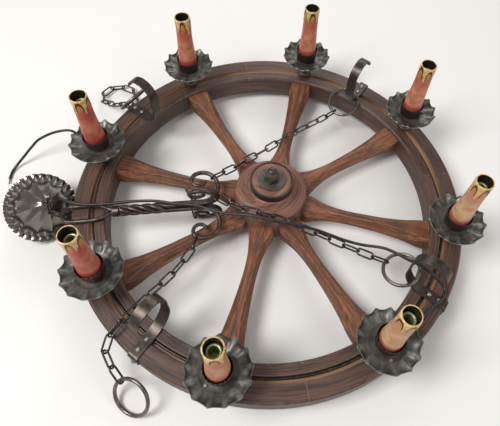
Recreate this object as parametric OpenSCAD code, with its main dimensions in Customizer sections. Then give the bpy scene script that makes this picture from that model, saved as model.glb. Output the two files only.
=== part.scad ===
// Wagon wheel chandelier with eight candle lamps, laid down on a floor as it waits to be hung.
// The wheel lies flat, its axle along +Z, and stands on the underside of its nave at z = 0.
// Lamps are numbered clockwise seen from above, lamp 1 at 112.5 degrees. Brackets, rings and chains 1
// to 4 stand at 135, 45, -45 and -135 degrees. Millimetres throughout.

/* [Rim] */
// Outside diameter of the wheel
wheel_od = 700; // [660:1:740]
// Radial width of the felloes
rim_w = 57; // [54:0.5:60]
// Height of the felloes
rim_h = 45; // [42:0.5:48]
// How far the nave stands below the felloes
rim_lift = 18; // [17:0.5:20]
// Chamfer along the felloe edges
rim_chamfer = 2.5; // [1:0.5:4]
// Gap in each felloe joint
joint_gap = 0.2; // [0.1:0.1:0.4]
// Inner radius of the cable groove measured from the rim's inner face
groove_in = 18; // [17:0.5:19]
// Width of the cable groove
groove_w = 11; // [10:0.5:12]
// Depth of the cable groove
groove_depth = 8; // [7:0.5:12]

/* [Spokes] */
// Width of a spoke where it meets the rim
spoke_rim_w = 42; // [38:1:46]
// Height of a spoke where it meets the rim
spoke_rim_h = 34; // [30:1:38]
// Width of a spoke at its waist
spoke_waist_w = 23; // [20:1:26]
// Height of a spoke at its waist
spoke_waist_h = 24; // [20:1:26]
// Width of a spoke where it meets the nave
spoke_nave_w = 44; // [38:1:46]
// Height of a spoke where it meets the nave
spoke_nave_h = 33; // [28:1:36]
// Diameter of the tongue that enters the felloe
tongue_d = 18; // [14:0.5:20]
// Length of the tongue
tongue_l = 15; // [12:0.5:16]
// Width of the foot that enters the nave
foot_w = 28; // [24:0.5:30]
// Height of the foot that enters the nave
foot_h = 22; // [18:0.5:26]
// Length of the foot
foot_l = 16; // [12:0.5:18]
// Clearance round tongues, feet, bolts and screws
wood_fit = 0.2; // [0.1:0.05:0.3]

/* [Nave] */
// Diameter of the turned body
nave_d = 129; // [124:1:134]
// Height of the shoulder above the rim
nave_shoulder = 19; // [16:0.5:22]
// Height of the end grain face above the rim
nave_face = 51; // [46:0.5:54]
// Outside diameter of the iron band
band_d = 76; // [72:1:80]
// Height of the iron band
band_h = 16; // [12:0.5:18]
// Thickness of the iron band
band_t = 3; // [2:0.5:4]
// Diameter of the hub bolt
bolt_d = 16; // [14:0.5:18]
// Diameter of the flat bolt head under the nave
bolt_head_d = 40; // [34:1:44]
// Thickness of the bolt head
bolt_head_h = 6; // [4:0.5:8]
// Outside diameter of the hub washer
washer_d = 48; // [44:1:52]
// Thickness of the hub washer
washer_t = 3; // [2:0.5:4]
// Width across the flats of the hub nut
nut_af = 24; // [22:0.5:27]
// Height of the hub nut
nut_h = 13; // [10:0.5:15]
// How far the bolt stands above the nut
bolt_out = 7; // [4:0.5:10]

/* [Lamps] */
// Radius of the circle on which the lamps stand
lamp_circle = 322; // [321:0.5:324]
// Diameter of the turned lamp foot
lamp_foot_d = 28; // [24:1:32]
// Height of the lamp foot
lamp_foot_h = 42; // [38:0.5:46]
// Diameter of the threaded tube that holds each lamp
nipple_d = 10; // [9:0.5:10]
// Bore of the threaded tube
nipple_bore = 6; // [5:0.5:7]
// How deep the threaded tube enters the rim
nipple_depth = 36; // [30:1:40]
// Diameter of the drip pan over its petals
pan_d = 96; // [88:1:102]
// Sheet thickness of the drip pan
pan_t = 1.4; // [1:0.1:2]
// Rise of the drip pan from its floor to its edge
pan_rise = 12; // [9:0.5:15]
// Number of petals round the drip pan
pan_petals = 10; // [8:1:12]
// Diameter of the candle cup at its mouth
cup_d = 44; // [42:0.5:46]
// Height of the candle cup
cup_h = 26; // [22:0.5:30]
// Wall of the candle cup
cup_t = 1.5; // [1:0.1:1.8]
// Diameter of the candle sleeve at the top
sleeve_top_d = 28; // [27.5:0.1:30]
// Diameter of the candle sleeve at its swollen foot
sleeve_foot_d = 36; // [34:0.5:37]
// Bore of the candle sleeve
sleeve_bore = 24; // [23.5:0.1:25]
// Length of the candle sleeve
sleeve_l = 126; // [115:1:140]
// Diameter of the lampholder
holder_d = 23.2; // [22:0.1:23.2]
// How far the lampholder stops below the top of the sleeve
holder_drop = 16; // [12:0.5:22]
// Thread diameter of the lampholder, for a small screw lamp cap
holder_thread_d = 14; // [13.9:0.1:14.5]
// Depth of the lampholder thread
holder_thread_l = 26; // [22:1:30]
// Gap between a candle sleeve and the pieces round it
sleeve_gap = 0.3; // [0.3:0.1:0.5]

/* [Brackets] */
// Width of the flat iron strap
strap_w = 18; // [16:0.5:20]
// Thickness of the strap
strap_t = 3; // [2.5:0.5:4]
// How far the strap reaches down the outer side of the rim
strap_down = 26; // [20:1:32]
// Bend radius at the foot of the hook
hook_foot_r = 40; // [37:0.5:42]
// Bend radius over the top of the hook
hook_top_r = 28; // [26:0.5:30]
// Height of the straight part between the two bends
hook_rise = 32; // [28:1:36]
// Distance from the rim's outer face to where the strap leaves the wood
hook_start = 38; // [36:0.5:40]
// Angle at which the strap's end stops, above level
hook_end = 10; // [0:1:25]
// Diameter of the screw shanks
screw_d = 4; // [3.5:0.5:5]
// Diameter of the screw heads
screw_head_d = 8; // [7:0.5:9]

/* [Rings and chain] */
// Outside diameter of the big rings
ring_od = 66; // [65:0.5:68]
// Bar diameter of the big rings
ring_bar = 6; // [5.5:0.1:6.2]
// Outside length of a chain link
link_l = 33; // [32.8:0.1:33.2]
// Outside width of a chain link
link_w = 15; // [14.5:0.1:16]
// Wire diameter of the chain
link_wire = 3.2; // [3:0.1:3.4]
// Gap where one link hangs in the next
link_gap = 0.3; // [0.3:0.05:0.5]

/* [Hanger] */
// Diameter of the four hanger bars
bar_d = 8; // [7:0.1:8.2]
// Distance of each bar from the middle of the bundle
bundle_r = 5.9; // [5.8:0.05:6.2]
// Length of the eye
eye_l = 76; // [72:1:80]
// Outside width of the eye
eye_w = 37; // [34:1:40]
// Diameter of the eye's round bar
eye_bar = 7.5; // [6.5:0.1:8]
// Length of the neck between the eye and the twist
neck_l = 27; // [22:1:30]
// Length of the twisted part
twist_l = 78; // [70:1:84]
// Turn of the twisted part in degrees
twist_turn = 360; // [270:90:360]
// Length of the straight part below the twist
straight_l = 62; // [56:1:68]
// Radius of the large bend of each scroll hook
scroll_r = 28; // [26:0.5:28]
// Radius of the small curl of each scroll hook
curl_r = 12; // [11:0.5:13]
// Bar diameter in the small curl
curl_bar = 6.4; // [5.5:0.1:6.6]

/* [Canopy] */
// Diameter of the bell over its ribs
bell_d = 102; // [96:1:108]
// Height of the bell
bell_h = 50; // [44:1:56]
// Number of flutes
bell_flutes = 12; // [10:1:14]
// Depth of the hollows between the ribs, as a share of the radius
bell_hollow = 0.1; // [0.05:0.01:0.14]
// Diameter of the crimped plate
plate_d = 124; // [118:1:130]
// Number of crimps round the plate
plate_crimps = 30; // [24:1:36]
// Sheet thickness of bell and plate
sheet_t = 1.5; // [1.2:0.1:2]
// Tilt of the canopy where it lies, in degrees from level
canopy_tilt = 37; // [36:0.5:38]
// Diameter of the rod through the canopy
rod_d = 8; // [7:0.5:9]
// Wire diameter of the two eyes on the rod
loop_bar = 5; // [4.5:0.1:5.2]
// Outside diameter of the ceiling loop below the plate
ceiling_loop_od = 38; // [36:0.5:39]
// Outside diameter of the loop over the bell
top_loop_od = 24; // [23:0.5:26]

/* [Cables] */
// Diameter of the cable in the groove
rim_cable_d = 5; // [4.5:0.1:5.4]
// Diameter of the free cables
lead_d = 5; // [4:0.1:6]

/* [Hidden] */
$fn = 96;

// colours read from the photograph
dark_wood = "#5f4740";
warm_wood = "#8a573c";
nave_wood = "#84604f";
black_iron = "#4c4642";
ring_iron = "#8c8480";
pan_iron = "#4a4d47";
cup_brown = "#2e2422";
candle = "#c08466";
cable_black = "#1c1b1b";

// levels and radii of the wheel
rim_r = wheel_od / 2;
rim_in = rim_r - rim_w;
rim_z0 = rim_lift;
rim_z1 = rim_lift + rim_h;
mid_z = rim_lift + rim_h / 2;
groove_r = rim_in + groove_in;
nave_r = nave_d / 2;
shoulder_z = rim_z1 + nave_shoulder;
face_z = rim_z1 + nave_face;

function lamp_angle(i) = 157.5 - 45 * i;
function bracket_angle(i) = 180 - 45 - 90 * (i - 1);

// ---- small vector and sweep functions ----
function unit(v) = v / norm(v);
function mix(a, b, t) = a + (b - a) * t;
function wrap(a) = a - 180 * round(a / 180);
function spin_z(p, a) = [p[0] * cos(a) - p[1] * sin(a), p[0] * sin(a) + p[1] * cos(a), p[2]];
// point at radius r, angle a and level z
function polar(r, a, z) = [r * cos(a), r * sin(a), z];

// faces of a skin over m loops of n points; joined = the last loop meets the first
function skin(n, m, joined) = concat(
    [for (j = [0 : m - (joined ? 1 : 2)]) for (i = [0 : n - 1])
        [j * n + i, ((j + 1) % m) * n + (i + 1) % n, j * n + (i + 1) % n]],
    [for (j = [0 : m - (joined ? 1 : 2)]) for (i = [0 : n - 1])
        [j * n + i, ((j + 1) % m) * n + i, ((j + 1) % m) * n + (i + 1) % n]],
    joined ? [] : [[for (i = [0 : n - 1]) i], [for (i = [n - 1 : -1 : 0]) (m - 1) * n + i]]);

// smooth curve through hand-set points, s steps between each two
function hermite(a, b, c, d, t) = 0.5 * (2 * b + (c - a) * t
    + (2 * a - 5 * b + 4 * c - d) * t * t + (3 * b - a - 3 * c + d) * t * t * t);
function curve(p, s) = concat(
    [for (i = [0 : len(p) - 2]) for (k = [0 : s - 1])
        hermite(i == 0 ? 2 * p[0] - p[1] : p[i - 1], p[i], p[i + 1],
            i == len(p) - 2 ? 2 * p[i + 1] - p[i] : p[i + 2], k / s)],
    [p[len(p) - 1]]);
function tangent(p, i) = unit(p[min(i + 1, len(p) - 1)] - p[max(i - 1, 0)]);

// round tube along a path that is never upright
module tube(path, d, sides = 8) {
    rings = [for (i = [0 : len(path) - 1])
        let (t = tangent(path, i), y = unit(cross([0, 0, 1], t)), z = cross(t, y))
        for (k = [0 : sides - 1]) path[i] + d / 2 * (cos(360 * k / sides) * y + sin(360 * k / sides) * z)];
    polyhedron(rings, skin(sides, len(path), false), 10);
}

// ---- chains ----
link_half = link_l / 2 - link_wire / 2;
pitch = link_l - 2 * link_wire - link_gap;

function path_len(p, i = 0) = i >= len(p) - 1 ? 0 : norm(p[i + 1] - p[i]) + path_len(p, i + 1);
function at_len(p, s, i = 0) = let (l = norm(p[i + 1] - p[i]))
    (s <= l || i >= len(p) - 2) ? mix(p[i], p[i + 1], s / l) : at_len(p, s - l, i + 1);
// points where link meets link, evenly along a route
function chain_joints(p) = let (s = path_len(p), n = ceil(s / pitch - 0.05))
    [for (k = [0 : n]) at_len(p, s * k / n)];
function azim(d) = atan2(d[1], d[0]);
function elev(d) = asin(d[2] / norm(d));
// roll that turns a link's plane square to bar direction b
function roll_to(d, b) = let (y = unit(cross([0, 0, 1], d)), z = cross(unit(d), y))
    atan2(-(b * y), b * z);

module half_turn(r, d) rotate_extrude(angle = 180) translate([r, 0]) circle(d = d, $fn = 32);

// one oval link about its middle, long way along X, flat way along Y
module link() {
    r = link_w / 2 - link_wire / 2;
    s = link_l / 2 - link_w / 2;
    for (m = [0, 1]) mirror([m, 0, 0]) translate([s, 0, 0]) rotate(-90) half_turn(r, link_wire);
    for (m = [-1, 1]) translate([-s, m * r, 0]) rotate([0, 90, 0])
        cylinder(d = link_wire, h = 2 * s, $fn = 32);
}
module link_at(a, b, roll) {
    d = b - a;
    translate((a + b) / 2) rotate([0, -elev(d), azim(d)]) rotate([roll, 0, 0]) link();
}
// links first to last of a chain, from bar direction b0 at its start to b1 at its end
module links(joints, b0, b1, first = 0, last = 99) {
    n = len(joints) - 1;
    r0 = roll_to(joints[1] - joints[0], b0);
    r1 = roll_to(joints[n] - joints[n - 1], b1);
    drift = wrap(r1 - r0 - 90 * (n - 1));
    for (k = [max(first, 0) : min(last, n - 1)])
        link_at(joints[k], joints[k + 1], r0 + 90 * k + drift * k / max(n - 1, 1));
}
// where a link's joint point lies when its end is hooked round a bar of diameter d at p, chain going along v
function hooked(p, v, d) = p - unit(v) * (d / 2 + link_gap / 2);

// ---- hanger: local X runs from the eye to the scrolls, origin where the scrolls begin ----
hang_at = [-125, -8, rim_z1 + eye_bar / 2 + 4.4];
hang_turn = -3.6;
// roll of the whole bundle about its own length
hang_roll = 9;
// slope of the bundle, up from the eye on the rim to the scrolls
hang_pitch = 1;
bend_x = 2;
hang_l = straight_l + twist_l + neck_l + eye_l;
function hang_vec(p) = spin_z([p[0] * cos(hang_pitch) - p[2] * sin(hang_pitch), p[1],
    p[0] * sin(hang_pitch) + p[2] * cos(hang_pitch)], hang_turn);
function hang(p) = hang_at + hang_vec(p);
// centre of the small curl in a scroll's plane, and a point on the curl
scroll_split = 115;
curl_c = [bend_x + (scroll_r - curl_r) * cos(scroll_split),
    bundle_r + scroll_r + (scroll_r - curl_r) * sin(scroll_split)];
function on_curl(a) = curl_c + curl_r * [cos(a), sin(a)];
// bar 1 goes to +Y, 2 up, 3 to -Y, 4 down; turn of the scroll plane about X
function arm_turn(i) = 90 * (i - 1) + hang_roll;
function in_arm(i, q) = let (t = arm_turn(i)) [q[0], q[1] * cos(t), q[1] * sin(t)];
// point and bar direction at angle a on the small curl of arm i, and on its large bend
function arm_pt(i, a) = hang(in_arm(i, on_curl(a)));
function bend_pt(i, a) = hang(in_arm(i, [bend_x, bundle_r + scroll_r] + scroll_r * [cos(a), sin(a)]));
function arm_dir(i, a) = hang_vec(in_arm(i, [-sin(a), cos(a)]));

// ---- big rings: centre, and tilt of the ring's plane, down towards the hub for a positive tilt ----
ring_r = ring_od / 2 - ring_bar / 2;
hook_x = rim_r - hook_start;            // radius where the strap leaves the wood
hook_in = hook_x - hook_foot_r;         // radius of the hook's upright
hook_z = rim_z1 + strap_t / 2;          // middle of the strap lying on the rim
// rings 2 and 3 lie in the foot bend of their hooks
seat_r = hook_in + 31;
seat_z = hook_z + 8.5;
ring_tilt = [-54, 20, 16, -50];
ring_yaw = [1, -2, -1.7, 0];
// ring 1 leans on the outer corner of its bracket, ring 4 stands on the floor against its chain
ring_mid = [[rim_r - 6, 134, rim_z1 + 21],
    [seat_r - ring_r * cos(20) + 2, 47, seat_z - ring_r * sin(20) + 2],
    [hook_in - 9, -43.3, hook_z + 9],
    [392, -131, ring_r * sin(50) + ring_bar / 2 + 0.1]];
function ring_centre(i) = polar(ring_mid[i - 1][0], ring_mid[i - 1][1], ring_mid[i - 1][2]);
function ring_face(i) = ring_mid[i - 1][1] + ring_yaw[i - 1];
// point on ring i's bar centre; a = 0 is the outer side, 180 the side by the hub
function ring_pt(i, a) = let (t = ring_tilt[i - 1])
    ring_centre(i) + spin_z(ring_r * [cos(a) * cos(t), sin(a), cos(a) * sin(t)], ring_face(i));
function ring_dir(i, a) = let (t = ring_tilt[i - 1])
    spin_z([-sin(a) * cos(t), cos(a), -sin(a) * sin(t)], ring_face(i));

// ---- chain routes, by hand, between a scroll's curl and a ring ----
start_2 = bend_pt(1, 40);
end_2 = ring_pt(2, 170);
via_2 = [[-62, 61, 72], [-36, 80, 66], [-4, 96, 63], [24, 112, 62], [54, 129, 61], [90, 148, 60],
    [124, 162, 60]];
start_3 = bend_pt(2, -8);
end_3 = ring_pt(3, 179);
via_3 = [[-68, -34, 95], [-40, -46, 93], [-8, -60, 90.5], [28, -78, 86], [71, -102, 79], [107, -124, 74],
    [138, -141, 69]];
start_4 = arm_pt(3, 122);
via_4 = [[-148, -86, 63], [-168, -112, 64], [-192, -136, 66], [-220, -158, 70], [-242, -178, 72]];
end_4 = [-272, -204, 74];
start_1 = arm_pt(4, 150);
end_1 = ring_pt(1, 15);
// chain 1 runs on the floor behind spoke 8 and the rim, loops out behind the wheel and climbs to its ring
via_1 = [[-142, 22, 9], [-142, 48, 8], [-152, 74, 8], [-178, 97, 8], [-222, 116, 8], [-266, 134, 8],
    [-294, 152, 8], [-312, 178, 8], [-314, 206, 8], [-298, 232, 8], [-276, 256, 8], [-256, 286, 8],
    [-247, 318, 8], [-254, 343, 8], [-278, 358, 8], [-306, 355, 8], [-320, 335, 8], [-315, 311, 14],
    [-296, 290, 29], [-278, 270, 44]];
function route(a, via, b, da, db) = concat([hooked(a, via[0] - a, da)], via,
    [hooked(b, via[len(via) - 1] - b, db)]);
chain_p1 = chain_joints(route(start_1, via_1, end_1, curl_bar, ring_bar));
chain_p2 = chain_joints(route(start_2, via_2, end_2, bar_d, ring_bar));
chain_p3 = chain_joints(route(start_3, via_3, end_3, bar_d, ring_bar));
// chain 4 hangs over the rim's edge, down to the ring on the floor
drop_4 = [[-290, -226, 64], [-286, -246, 48]];
full_4 = concat([hooked(start_4, via_4[0] - start_4, curl_bar)], via_4, [end_4], drop_4,
    [hooked(ring_pt(4, 240), drop_4[1] - ring_pt(4, 240), ring_bar)]);
chain_p4 = chain_joints(full_4);
n_4 = len(chain_p4) - 1;

// ---- canopy: local Z along its rod, origin in the middle of the plate's ceiling side ----
canopy_at = [-410, 46, plate_d / 2 * sin(canopy_tilt) + 1.2];
canopy_face = -39;
function canopy(p) = let (q = [p[0] * cos(canopy_tilt) + p[2] * sin(canopy_tilt), p[1],
    -p[0] * sin(canopy_tilt) + p[2] * cos(canopy_tilt)]) canopy_at + spin_z(q, canopy_face);
module canopy_place() translate(canopy_at) rotate(canopy_face) rotate([0, canopy_tilt, 0]) children();
top_loop_z = sheet_t * 2 + bell_h + top_loop_od / 2 + 1;
top_loop_r = top_loop_od / 2 - loop_bar / 2;
// the two links between the canopy's loop and the hanger's eye; the loop is turned on the rod
loop_turn = 30;
loop_hook = 110;
link_bow = -30;
link_span = pitch - 1.6;
function on_loop(p) = canopy(spin_z(p, loop_turn));
loop_pt = on_loop([top_loop_r * cos(loop_hook), 0, top_loop_z + top_loop_r * sin(loop_hook)]);
loop_dir = unit(on_loop([-sin(loop_hook), 0, cos(loop_hook)]) - canopy([0, 0, 0]));
eye_pt = hang([-hang_l + eye_bar / 2, 0, 0]);
eye_dir = spin_z([0, 1, 0], hang_turn);

// ---- free cables, routes by hand ----
foot_5 = polar(lamp_circle, lamp_angle(5), 0);
lead_route = [[137.2, -293.9, 66], [164, -281, 68], [190, -268, 68], [220, -250, 70], [244, -237, 73],
    [251, -222, 75], [241, -206, 82], [222, -187, 90], [202, -173, 92], [171, -146, 88], [135, -130, 81],
    [106, -117, 82],
    [64, -98, 92], [24, -84, 99], [-16, -71, 102], [-50, -57, 102], [-84, -44, 93], [-112, -30, 89],
    [-138, -18, 90], [-168, -10, 88], [-204, 2, 86], [-244, 8, 84], [-284, 10, 82], [-322, 14, 82],
    [-348, 22, 84], [-366, 30, 90]];
tail_route = [[-309.9, 131.9, 66], [-332, 158, 73], [-356, 188, 73], [-388, 194, 68], [-423, 194, 52],
    [-443, 189, 36], [-462, 180, 20], [-478, 170, 8], [-487, 158, 3.4], [-490, 142, 3]];

// ================= wheel =================
module felloe_profile() {
    difference() {
        polygon([[rim_in + rim_chamfer, rim_z0], [rim_r - rim_chamfer, rim_z0],
            [rim_r, rim_z0 + rim_chamfer], [rim_r, rim_z1 - rim_chamfer], [rim_r - rim_chamfer, rim_z1],
            [rim_in + rim_chamfer, rim_z1], [rim_in, rim_z1 - rim_chamfer], [rim_in, rim_z0 + rim_chamfer]]);
        translate([groove_r, rim_z1 - groove_depth]) square([groove_w, groove_depth + 1]);
    }
}
module felloe(i) {
    a = bracket_angle(i);
    half_gap = asin(joint_gap / 2 / rim_in);
    color(dark_wood) difference() {
        rotate(a - 45 + half_gap) rotate_extrude(angle = 90 - 2 * half_gap) felloe_profile();
        for (k = [2 * i - 2, 2 * i - 1]) rotate(lamp_angle(k)) spoke_and_lamp_holes();
        rotate(a) bracket_holes();
    }
}
module spoke_and_lamp_holes() {
    translate([rim_in - 1, 0, mid_z]) rotate([0, 90, 0])
        cylinder(d = tongue_d + 2 * wood_fit, h = tongue_l + wood_fit + 1);
    translate([lamp_circle, 0, rim_z1 - nipple_depth - wood_fit])
        cylinder(d = nipple_d + 2 * wood_fit, h = nipple_depth + 5);
}
// spoke outline: share of the way, then width, height and corner cut
function spoke_sections() = let (r0 = nave_r + wood_fit, r1 = rim_in - wood_fit, w = spoke_waist_w,
    h = spoke_waist_h) [
    [r0, spoke_nave_w * 0.86, spoke_nave_h, 3], [r0 + 8, spoke_nave_w, spoke_nave_h + 1, 5],
    [mix(r0, r1, 0.13), mix(w, spoke_nave_w, 0.52), mix(h, spoke_nave_h, 0.6), 8],
    [mix(r0, r1, 0.22), mix(w, spoke_nave_w, 0.16), mix(h, spoke_nave_h, 0.25), 8],
    [mix(r0, r1, 0.34), w, h, 7.5], [mix(r0, r1, 0.48), w + 1.5, h + 1, 8],
    [mix(r0, r1, 0.64), mix(w, spoke_rim_w, 0.34), mix(h, spoke_rim_h, 0.3), 10],
    [mix(r0, r1, 0.8), mix(w, spoke_rim_w, 0.7), mix(h, spoke_rim_h, 0.66), 10],
    [mix(r0, r1, 0.89), spoke_rim_w, spoke_rim_h, 8], [r1 - 10, spoke_rim_w, spoke_rim_h, 3],
    [r1 + 12, spoke_rim_w, spoke_rim_h, 3]];
module spoke(i) {
    s = spoke_sections();
    rings = [for (q = s) for (p = [[1, -1, 0, 1], [1, 1, 0, -1], [1, 1, -1, 0], [-1, 1, 1, 0],
        [-1, 1, 0, -1], [-1, -1, 0, 1], [-1, -1, 1, 0], [1, -1, -1, 0]])
        [q[0], p[0] * q[1] / 2 + p[2] * q[3], mid_z + p[1] * q[2] / 2 + p[3] * q[3]]];
    color(warm_wood) rotate(lamp_angle(i)) {
        difference() {
            polyhedron(rings, skin(8, len(s), false), 10);
            difference() {
                translate([0, 0, mid_z - 30]) cylinder(r = rim_in + 40, h = 60);
                translate([0, 0, mid_z - 31]) cylinder(r = rim_in - wood_fit, h = 62);
            }
        }
        translate([rim_in - 6, 0, mid_z]) rotate([0, 90, 0]) cylinder(d = tongue_d, h = tongue_l + 6);
        translate([nave_r - foot_l, -foot_w / 2, mid_z - foot_h / 2])
            cube([foot_l + 4, foot_w, foot_h]);
    }
}
module nave() color(nave_wood) difference() {
    neck_r = band_d / 2 - band_t;
    rotate_extrude() polygon([[0, 0], [44, 0], [50, 3], [56, 11], [60, 14], [nave_r, 19],
        [nave_r, shoulder_z - 3], [nave_r - 2, shoulder_z], [nave_r - 9, shoulder_z + 1.5],
        [nave_r - 15, shoulder_z + 5], [nave_r - 20, shoulder_z + 10],
        [neck_r + 4, face_z - band_h + 0.8], [neck_r + 2.4, face_z - band_h + 1.6],
        [neck_r, face_z - band_h + 1.6], [neck_r, face_z - 1], [neck_r - 1, face_z], [0, face_z]]);
    for (i = [1 : 8]) rotate(lamp_angle(i))
        translate([nave_r - foot_l - wood_fit, -foot_w / 2 - wood_fit, mid_z - foot_h / 2 - wood_fit])
            cube([foot_l + 20, foot_w + 2 * wood_fit, foot_h + 2 * wood_fit]);
    translate([0, 0, -1]) cylinder(d = bolt_d + 2 * wood_fit, h = face_z + 2);
    translate([0, 0, -1]) cylinder(d = bolt_head_d + 2 * wood_fit, h = bolt_head_h + wood_fit + 1);
}
module nave_band() color(black_iron) rotate_extrude() {
    r = band_d / 2;
    z = face_z - band_h + 2;
    polygon([[r - band_t + 0.1, z], [r - 0.5, z], [r, z + 0.5], [r, face_z + 0.5], [r - 0.5, face_z + 1],
        [r - band_t + 0.1, face_z + 1]]);
}
washer_z = face_z + 0.1;
nut_z = washer_z + washer_t + 0.1;
module hub_bolt() color(ring_iron) {
    cylinder(d = bolt_head_d, h = bolt_head_h);
    translate([0, 0, bolt_head_h - 1]) cylinder(d = bolt_d, h = nut_z + nut_h + bolt_out - bolt_head_h - 2);
    translate([0, 0, nut_z + nut_h + bolt_out - 3.01]) cylinder(d1 = bolt_d, d2 = bolt_d - 6, h = 3);
}
module hub_washer() color(ring_iron) difference() {
    translate([0, 0, washer_z]) cylinder(d = washer_d, h = washer_t);
    cylinder(d = bolt_d + 2 * wood_fit, h = 300);
}
module hub_nut() color(ring_iron) difference() {
    intersection() {
        translate([0, 0, nut_z]) rotate(10) cylinder(d = nut_af / cos(30), h = nut_h, $fn = 6);
        translate([0, 0, nut_z - 6.6])
            cylinder(r1 = nut_af / 2 + 8.2, r2 = nut_af / 2 - 0.6, h = nut_h + 7.6);
    }
    cylinder(d = bolt_d + 0.2, h = 300);
}

// ================= lamps =================
foot_top = rim_z1 + lamp_foot_h;
pan_top = foot_top + 0.1 + pan_t;
cup_z = pan_top + 0.1;
cup_floor = cup_z + cup_t;
sleeve_z0 = cup_floor + sleeve_gap;
sleeve_z1 = sleeve_z0 + sleeve_l;
holder_top = sleeve_z1 - holder_drop;
module at_lamps() for (i = [1 : 8]) rotate(lamp_angle(i)) translate([lamp_circle, 0, 0]) children();

module lamp_feet() color(pan_iron) at_lamps() difference() {
    r = lamp_foot_d / 2;
    translate([0, 0, rim_z1 + 0.1]) rotate_extrude() polygon(concat([[0, 0]],
        [for (a = [-60 : 15 : 90]) [r - 4.5 + 4.5 * cos(a), 4.5 + 4.5 * sin(a)]],
        [[r - 6.5, 10], [r - 7.5, 13], [r - 7, lamp_foot_h - 16], [r - 5, lamp_foot_h - 9],
        [r + 1, lamp_foot_h - 3], [r + 3, lamp_foot_h - 0.1], [0, lamp_foot_h - 0.1]]));
    cylinder(d = nipple_d + 2 * wood_fit, h = 200);
}
// drip pan: floor, then petals that rise and wave at the edge
module drip_pans() color(pan_iron) at_lamps() translate([0, 0, foot_top + 0.1]) drip_pan();
module drip_pan() {
    n = pan_petals * 3;
    r = pan_d / 2;
    prof = [[nipple_d / 2 + wood_fit, 0, 0], [r * 0.6, 0, 0], [r * 0.73, 0.2, 0.1], [r * 0.87, 0.55, 0.5],
        [r * 0.985, 0.9, 1]];
    function wave(q, i, t) = let (a = 360 * i / n, w = cos(a * pan_petals) * q[2],
        s = q[0] + 1.8 * w * q[0] / r)
        [s * cos(a), s * sin(a), q[1] * pan_rise + 2.2 * w + t];
    rings = concat([for (q = prof) for (i = [0 : n - 1]) wave(q, i, 0)],
        [for (k = [len(prof) - 1 : -1 : 0]) for (i = [0 : n - 1]) wave(prof[k], i, pan_t)]);
    polyhedron(rings, skin(n, 2 * len(prof), true), 10);
}
module pan_screws() color(ring_iron) at_lamps() rotate(-30) translate([cup_d / 2 + 3, 0, pan_top + 0.1]) {
    cylinder(d = 3, h = 2.2);
    translate([0, 0, 0.7]) cylinder(d1 = 6, d2 = 4, h = 2);
}
// candle cup: tapered wall with a notched rim
module candle_cups() color(cup_brown) at_lamps() difference() {
    r1 = cup_d / 2;
    r0 = sleeve_foot_d / 2 + sleeve_gap + cup_t + 0.2;
    translate([0, 0, cup_z]) rotate_extrude() polygon([[0, 0], [r0 - 3, 0], [r0, 3], [r1, cup_h],
        [r1 - cup_t, cup_h], [r0 - cup_t, 3.5], [r0 - cup_t, cup_t], [0, cup_t]]);
    for (k = [0 : 9]) rotate(18 * k) translate([0, 0, cup_z + cup_h - 2.2]) rotate([90, 0, 0])
        linear_extrude(cup_d + 4, center = true) polygon([[0, 0], [2, 4], [-2, 4]]);
    cylinder(d = nipple_d + 2 * wood_fit, h = 300);
}
module lamp_tubes() color(ring_iron) at_lamps() translate([0, 0, rim_z1 - nipple_depth]) difference() {
    cylinder(d = nipple_d, h = nipple_depth + lamp_foot_h + 16);
    translate([0, 0, -1]) cylinder(d = nipple_bore, h = 200);
}
module lampholders() color("#b9a878") at_lamps() difference() {
    union() {
        translate([0, 0, cup_floor + 0.1]) cylinder(d = 17, h = holder_top - 52 - cup_floor);
        translate([0, 0, holder_top - 54]) cylinder(d = holder_d, h = 54);
    }
    translate([0, 0, holder_top - holder_thread_l]) cylinder(d = holder_thread_d, h = holder_thread_l + 1);
    translate([0, 0, holder_top - holder_thread_l - 8]) cylinder(d = holder_thread_d - 6, h = 9);
    translate([0, 0, cup_floor - 1])
        cylinder(d = nipple_d + 0.2, h = rim_z1 + lamp_foot_h + 16.2 - cup_floor + 1);
}
module candle_sleeve(i) color(candle) rotate(lamp_angle(i)) translate([lamp_circle, 0, sleeve_z0]) {
    b = sleeve_bore / 2;
    t = sleeve_top_d / 2;
    f = sleeve_foot_d / 2;
    l = sleeve_l;
    rotate_extrude() polygon([[b, 0], [f - 1.4, 0], [f - 0.5, 3], [f - 1, 8], [f - 0.1, 14], [f, 22],
        [mix(f, t, 0.25), 34],
        [mix(f, t, 0.5), 48], [mix(f, t, 0.66), 66], [mix(f, t, 0.82), l - 42], [t - 0.2, l - 22], [t, l - 2],
        [t - 0.6, l], [b, l]]);
}

// ================= brackets =================
module bracket_holes() {
    d = screw_d + 2 * wood_fit;
    for (x = [12, 30]) translate([rim_r - x, 0, rim_z1 - 20]) cylinder(d = d, h = 40);
    translate([rim_r - 20, 0, rim_z1 - strap_down + 8]) rotate([0, 90, 0]) cylinder(d = d, h = 60);
}
module arc_band(c, r, t, a0, a1) {
    translate(c) intersection() {
        difference() {
            circle(r = r + t / 2);
            circle(r = r - t / 2);
        }
        polygon(concat([[0, 0]],
            [for (k = [0 : 6]) let (a = mix(a0, a1, k / 6)) 2 * r * [cos(a), sin(a)]]));
    }
}
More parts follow.
